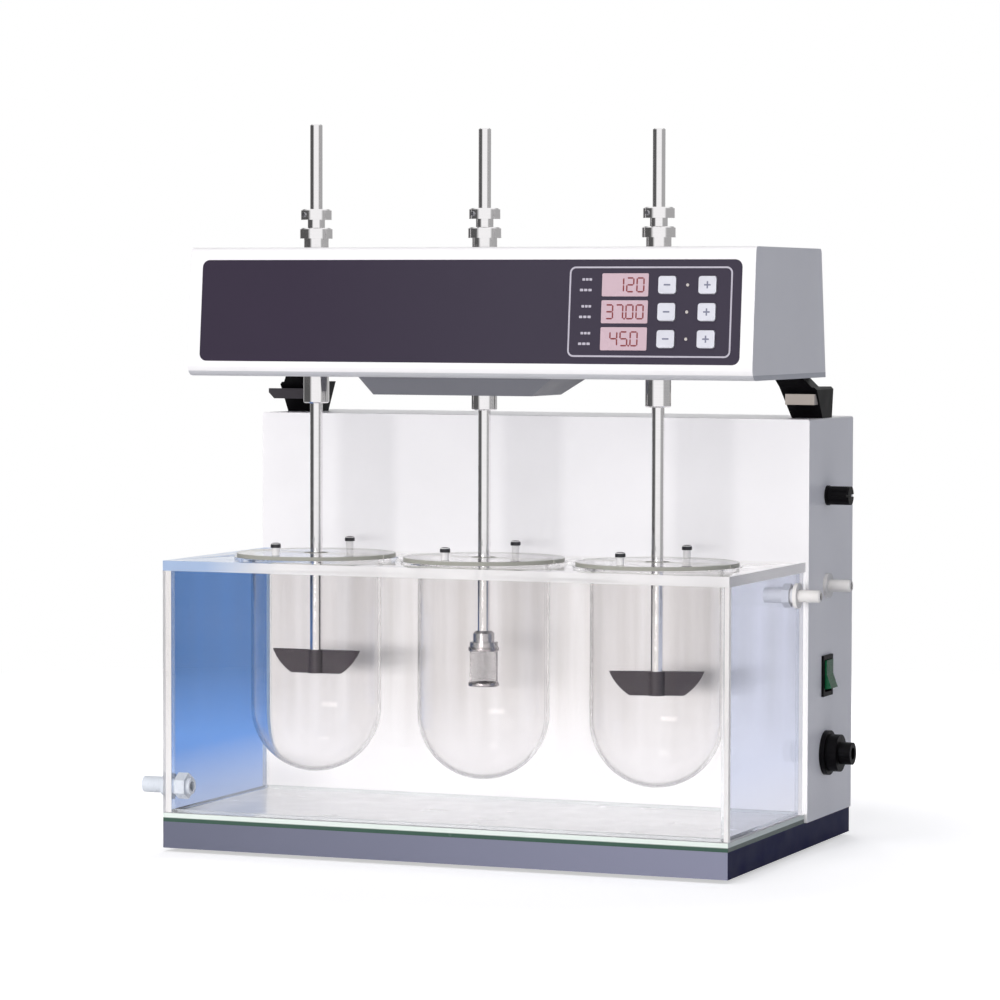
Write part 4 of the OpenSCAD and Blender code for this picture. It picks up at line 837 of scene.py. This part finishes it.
class TESTER_OT_glue_bath(bpy.types.Operator):
    """Run a pale glue bead along the bath's inner corners"""
    bl_idname = "tester.glue_bath"
    bl_label = "Glue bath"

    def execute(self, context):
        s = context.scene.tester_sizes
        glue = Finish("glue_bead").put(
            Base_Color=srgb(246, 248, 249), Roughness=0.15, Transmission_Weight=0.9, IOR=SHEET_IOR)
        glue.relief(glue.noise(240.0), 0.4, 0.0004)
        wall_lo, wall_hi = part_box("tank_end_walls")
        pane_lo, pane_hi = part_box("tank_front_wall")
        thick = pane_hi[1] - pane_lo[1]
        inset = 0.7 * s.bead_radius
        x0, x1 = wall_lo[0] + thick + inset, wall_hi[0] - thick - inset
        y0, y1 = wall_lo[1] + inset, wall_hi[1] - inset
        z0, z1 = wall_lo[2] + inset, wall_hi[2]
        runs = []
        for x in (x0, x1):
            for y in (y0, y1):
                runs.append(((x, y, z0), (x, y, z1)))
            runs.append(((x, y0, z0), (x, y1, z0)))
        for y in (y0, y1):
            runs.append(((x0, y, z0), (x1, y, z0)))
        piece = begin("glue_beads", bpy.ops.mesh.primitive_plane_add, size=1)
        bpy.ops.mesh.delete(type="VERT")
        bpy.ops.object.mode_set(mode="OBJECT")
        parts = []
        for start, end in runs:
            start, end = Vector(start), Vector(end)
            along = end - start
            bead = begin("bead", bpy.ops.mesh.primitive_cylinder_add, vertices=8, radius=s.bead_radius,
                         depth=along.length, location=(0, 0, 0))
            bpy.ops.mesh.select_all(action="SELECT")
            bpy.ops.mesh.bevel(offset=0.3 * MM, segments=1)
            bpy.ops.object.mode_set(mode="OBJECT")
            turn = along.to_track_quat("Z", "Y").to_matrix().to_4x4()
            bead.matrix_world = Matrix.Translation((start + end) / 2) @ turn
            parts.append(bead)
        clear_selection()
        for bead in parts:
            bead.select_set(True)
        bpy.context.view_layer.objects.active = piece
        piece.select_set(True)
        bpy.ops.object.transform_apply(location=True, rotation=True, scale=True)
        bpy.ops.object.join()
        pass_light(close(piece, glue.mat, "frame"))
        return {"FINISHED"}


class TESTER_OT_seat_plate(bpy.types.Operator):
    """Lay the vessel plate with a hair of air to the flanges and walls it touches"""
    bl_idname = "tester.seat_plate"
    bl_label = "Seat plate"

    def execute(self, context):
        node = NODES["vessel_plate"]
        lo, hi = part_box("vessel_plate")
        clear_selection()
        plate = bpy.data.objects.new("plate_sheet", node.data.copy())
        context.collection.objects.link(plate)
        context.view_layer.objects.active = plate
        plate.select_set(True)
        bpy.ops.object.mode_set(mode="EDIT")
        bpy.ops.mesh.select_all(action="SELECT")
        bpy.ops.mesh.remove_doubles(threshold=1e-6)
        pick(plate, "verts", lambda v: lo[2] + PLATE_AIR < v.co.z < hi[2] - PLATE_AIR)
        bpy.ops.transform.translate(value=(0, 0, -PLATE_AIR))
        pick(plate, "verts", lambda v: v.co.z < lo[2] + PLATE_AIR)
        bpy.ops.transform.translate(value=(0, 0, PLATE_AIR))
        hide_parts("vessel_plate")
        pass_light(close(plate, node.material_slots[0].material, "frame"))
        return {"FINISHED"}


class TESTER_OT_set_stage(bpy.types.Operator):
    """Set up the pale floor, the soft lamps, the white surround and the camera"""
    bl_idname = "tester.set_stage"
    bl_label = "Set stage"

    def lamp(self, name, place, aim, size, power, tint):
        """A soft lamp that shiny pieces do not mirror."""
        light = bpy.data.lights.new(name, "AREA")
        light.shape = "RECTANGLE"
        light.size, light.size_y = size
        light.energy = power
        light.color = tint
        holder = bpy.data.objects.new(name, light)
        bpy.context.collection.objects.link(holder)
        holder.location = place
        holder.rotation_euler = (Vector(aim) - Vector(place)).to_track_quat("-Z", "Y").to_euler()
        holder.visible_glossy = False

    def surround(self, scene):
        """White world with less light on matt faces; shiny ones see dark panels to both sides."""
        world = bpy.data.worlds.new("studio")
        scene.world = world
        world.use_nodes = True
        tree = world.node_tree

        def math_of(kind, *values):
            return math_node(tree, kind, *values)

        def vector(kind, source, other=(0, 0, 0)):
            node = tree.nodes.new("ShaderNodeVectorMath")
            node.operation = kind
            node.inputs[1].default_value = other
            tree.links.new(source, node.inputs[0])
            return node.outputs["Value" if kind == "DOT_PRODUCT" else "Vector"]

        towards = tree.nodes.new("ShaderNodeTexCoord").outputs["Generated"]
        level_way = vector("NORMALIZE", vector("MULTIPLY", towards, (1, 1, 0)))
        sine, cosine = math.sin(CAMERA_YAW), math.cos(CAMERA_YAW)
        ahead = vector("DOT_PRODUCT", level_way, (sine, -cosine, 0))
        beside = vector("DOT_PRODUCT", level_way, (cosine, sine, 0))
        dark = range_node(tree, beside, -0.2, 0.2, PANEL_LEFT, PANEL_RIGHT)
        gaps = math_of("MAXIMUM", range_node(tree, ahead, 0.5, 0.78),
                       range_node(tree, ahead, -0.95, -0.8, 1.0, 0.0))
        panels = math_of("MAXIMUM", dark, gaps)
        height = tree.nodes.new("ShaderNodeSeparateXYZ")
        tree.links.new(towards, height.inputs[0])
        shiny = math_of("MAXIMUM", panels, range_node(tree, height.outputs["Z"], 0.5, 0.8))

        ray = tree.nodes.new("ShaderNodeLightPath").outputs
        straight = math_of("LESS_THAN", ray["Diffuse Depth"], 0.5)
        plain = math_of("MULTIPLY", straight, math_of("LESS_THAN", ray["Glossy Depth"], 0.5))
        through = math_of("MULTIPLY", ray["Is Transmission Ray"], plain)
        white = math_of("MAXIMUM", ray["Is Camera Ray"], through)
        mirror = math_of("MULTIPLY", ray["Is Glossy Ray"], straight)
        level = math_of("MAXIMUM", white, math_of("MULTIPLY", mirror, shiny))
        matt = math_of("SUBTRACT", 1.0, math_of("MAXIMUM", white, mirror))
        level = math_of("MAXIMUM", level, math_of("MULTIPLY", matt, AMBIENT))
        tint = tree.nodes.new("ShaderNodeMix")
        tint.data_type = "RGBA"
        tint.inputs[6].default_value = (1, 1, 1, 1)
        tint.inputs[7].default_value = AMBIENT_TINT
        tree.links.new(matt, tint.inputs[0])
        tree.links.new(level, tree.nodes["Background"].inputs["Strength"])
        tree.links.new(tint.outputs[2], tree.nodes["Background"].inputs["Color"])

    def lay_floor(self):
        """Pale floor that shows contact shadows and fades into the surround."""
        floor = begin("floor", bpy.ops.mesh.primitive_plane_add, size=FLOOR_SIZE, location=(0, 0, 0))
        bpy.ops.mesh.subdivide(number_cuts=3)
        bpy.ops.object.mode_set(mode="OBJECT")
        pale = Finish("floor_pale").put(Roughness=0.9, Specular_IOR_Level=0.0)
        ray = pale.tree.nodes.new("ShaderNodeLightPath").outputs
        straight = pale.math("LESS_THAN", ray["Diffuse Depth"], 0.5)
        through = pale.math("MULTIPLY", ray["Is Transmission Ray"], straight)
        seen = pale.math("MAXIMUM", ray["Is Camera Ray"], through)
        lift = pale.tree.nodes.new("ShaderNodeEmission")
        away = pale.tree.nodes.new("ShaderNodeVectorMath")
        away.operation = "LENGTH"
        pale.join(pale.coords.outputs["Object"], away.inputs[0])
        glow = pale.span(away.outputs["Value"], GLOW_FROM, GLOW_FULL, GLOW_LOW, 1.0)
        fade = pale.math("MULTIPLY", seen, pale.span(away.outputs["Value"], GLOW_FULL, FLOOR_GONE))
        pale.paint(pale.blend(fade, srgb(238, 238, 240), (0.0, 0.0, 0.0)))
        pale.join(pale.math("MULTIPLY", seen, glow), lift.inputs["Strength"])
        both = pale.tree.nodes.new("ShaderNodeAddShader")
        pale.join(pale.shader.outputs[0], both.inputs[0])
        pale.join(lift.outputs[0], both.inputs[1])
        pale.join(both.outputs[0], pale.out.inputs[0])
        floor.data.materials.append(pale.mat)

    def place_camera(self, scene):
        """The photograph's camera, from its fitted angles and place."""
        camera = bpy.data.cameras.new("photo_camera")
        camera.sensor_width = SENSOR_WIDTH
        camera.lens = SENSOR_WIDTH * FOCAL_PIXELS / PICTURE_PIXELS
        camera.clip_end = 60
        holder = bpy.data.objects.new("photo_camera", camera)
        bpy.context.collection.objects.link(holder)
        flat = math.cos(CAMERA_PITCH)
        ahead = Vector((-math.sin(CAMERA_YAW) * flat, math.cos(CAMERA_YAW) * flat, -math.sin(CAMERA_PITCH)))
        level = Vector((math.cos(CAMERA_YAW), math.sin(CAMERA_YAW), 0))
        plumb = ahead.cross(level)
        sine, cosine = math.sin(CAMERA_ROLL), math.cos(CAMERA_ROLL)
        right, down = cosine * level + sine * plumb, cosine * plumb - sine * level
        turn = Matrix((right, -down, -ahead)).transposed().to_4x4()
        holder.matrix_world = Matrix.Translation(CAMERA_PLACE) @ turn
        scene.camera = holder

    def execute(self, context):
        self.lay_floor()
        self.surround(context.scene)
        for name, values in LAMPS.items():
            self.lamp(name, *values)
        self.place_camera(context.scene)
        context.scene.view_settings.view_transform = "Standard"
        return {"FINISHED"}


class TESTER_PT_builder(bpy.types.Panel):
    """Lists the steps that build the tester's looks"""
    bl_label = "Dissolution tester"
    bl_idname = "TESTER_PT_builder"
    bl_space_type = "VIEW_3D"
    bl_region_type = "UI"
    bl_category = "Tester"

    def draw(self, context):
        for step in STEPS:
            self.layout.operator(step.bl_idname)
        scene = context.scene
        for group in (scene.tester_sizes, scene.tester_colours):
            for key in type(group).__annotations__:
                self.layout.prop(group, key)


STEPS = (TESTER_OT_set_stage, TESTER_OT_dress_solids, TESTER_OT_print_panel, TESTER_OT_light_digits,
         TESTER_OT_mark_keys, TESTER_OT_cap_knobs, TESTER_OT_weave_basket, TESTER_OT_drive_screws,
         TESTER_OT_glue_bath, TESTER_OT_seat_plate)
CLASSES = (TesterSizes, TesterColours, *STEPS, TESTER_PT_builder)


def register():
    for cls in CLASSES:
        bpy.utils.register_class(cls)
    bpy.types.Scene.tester_sizes = PointerProperty(type=TesterSizes)
    bpy.types.Scene.tester_colours = PointerProperty(type=TesterColours)


def unregister():
    del bpy.types.Scene.tester_colours
    del bpy.types.Scene.tester_sizes
    for cls in reversed(CLASSES):
        bpy.utils.unregister_class(cls)


def main():
    """Registers the add-on and runs its steps in order."""
    register()
    for step in STEPS:
        family, name = step.bl_idname.split(".")
        getattr(getattr(bpy.ops, family), name)()


if __name__ == "__main__":
    main()
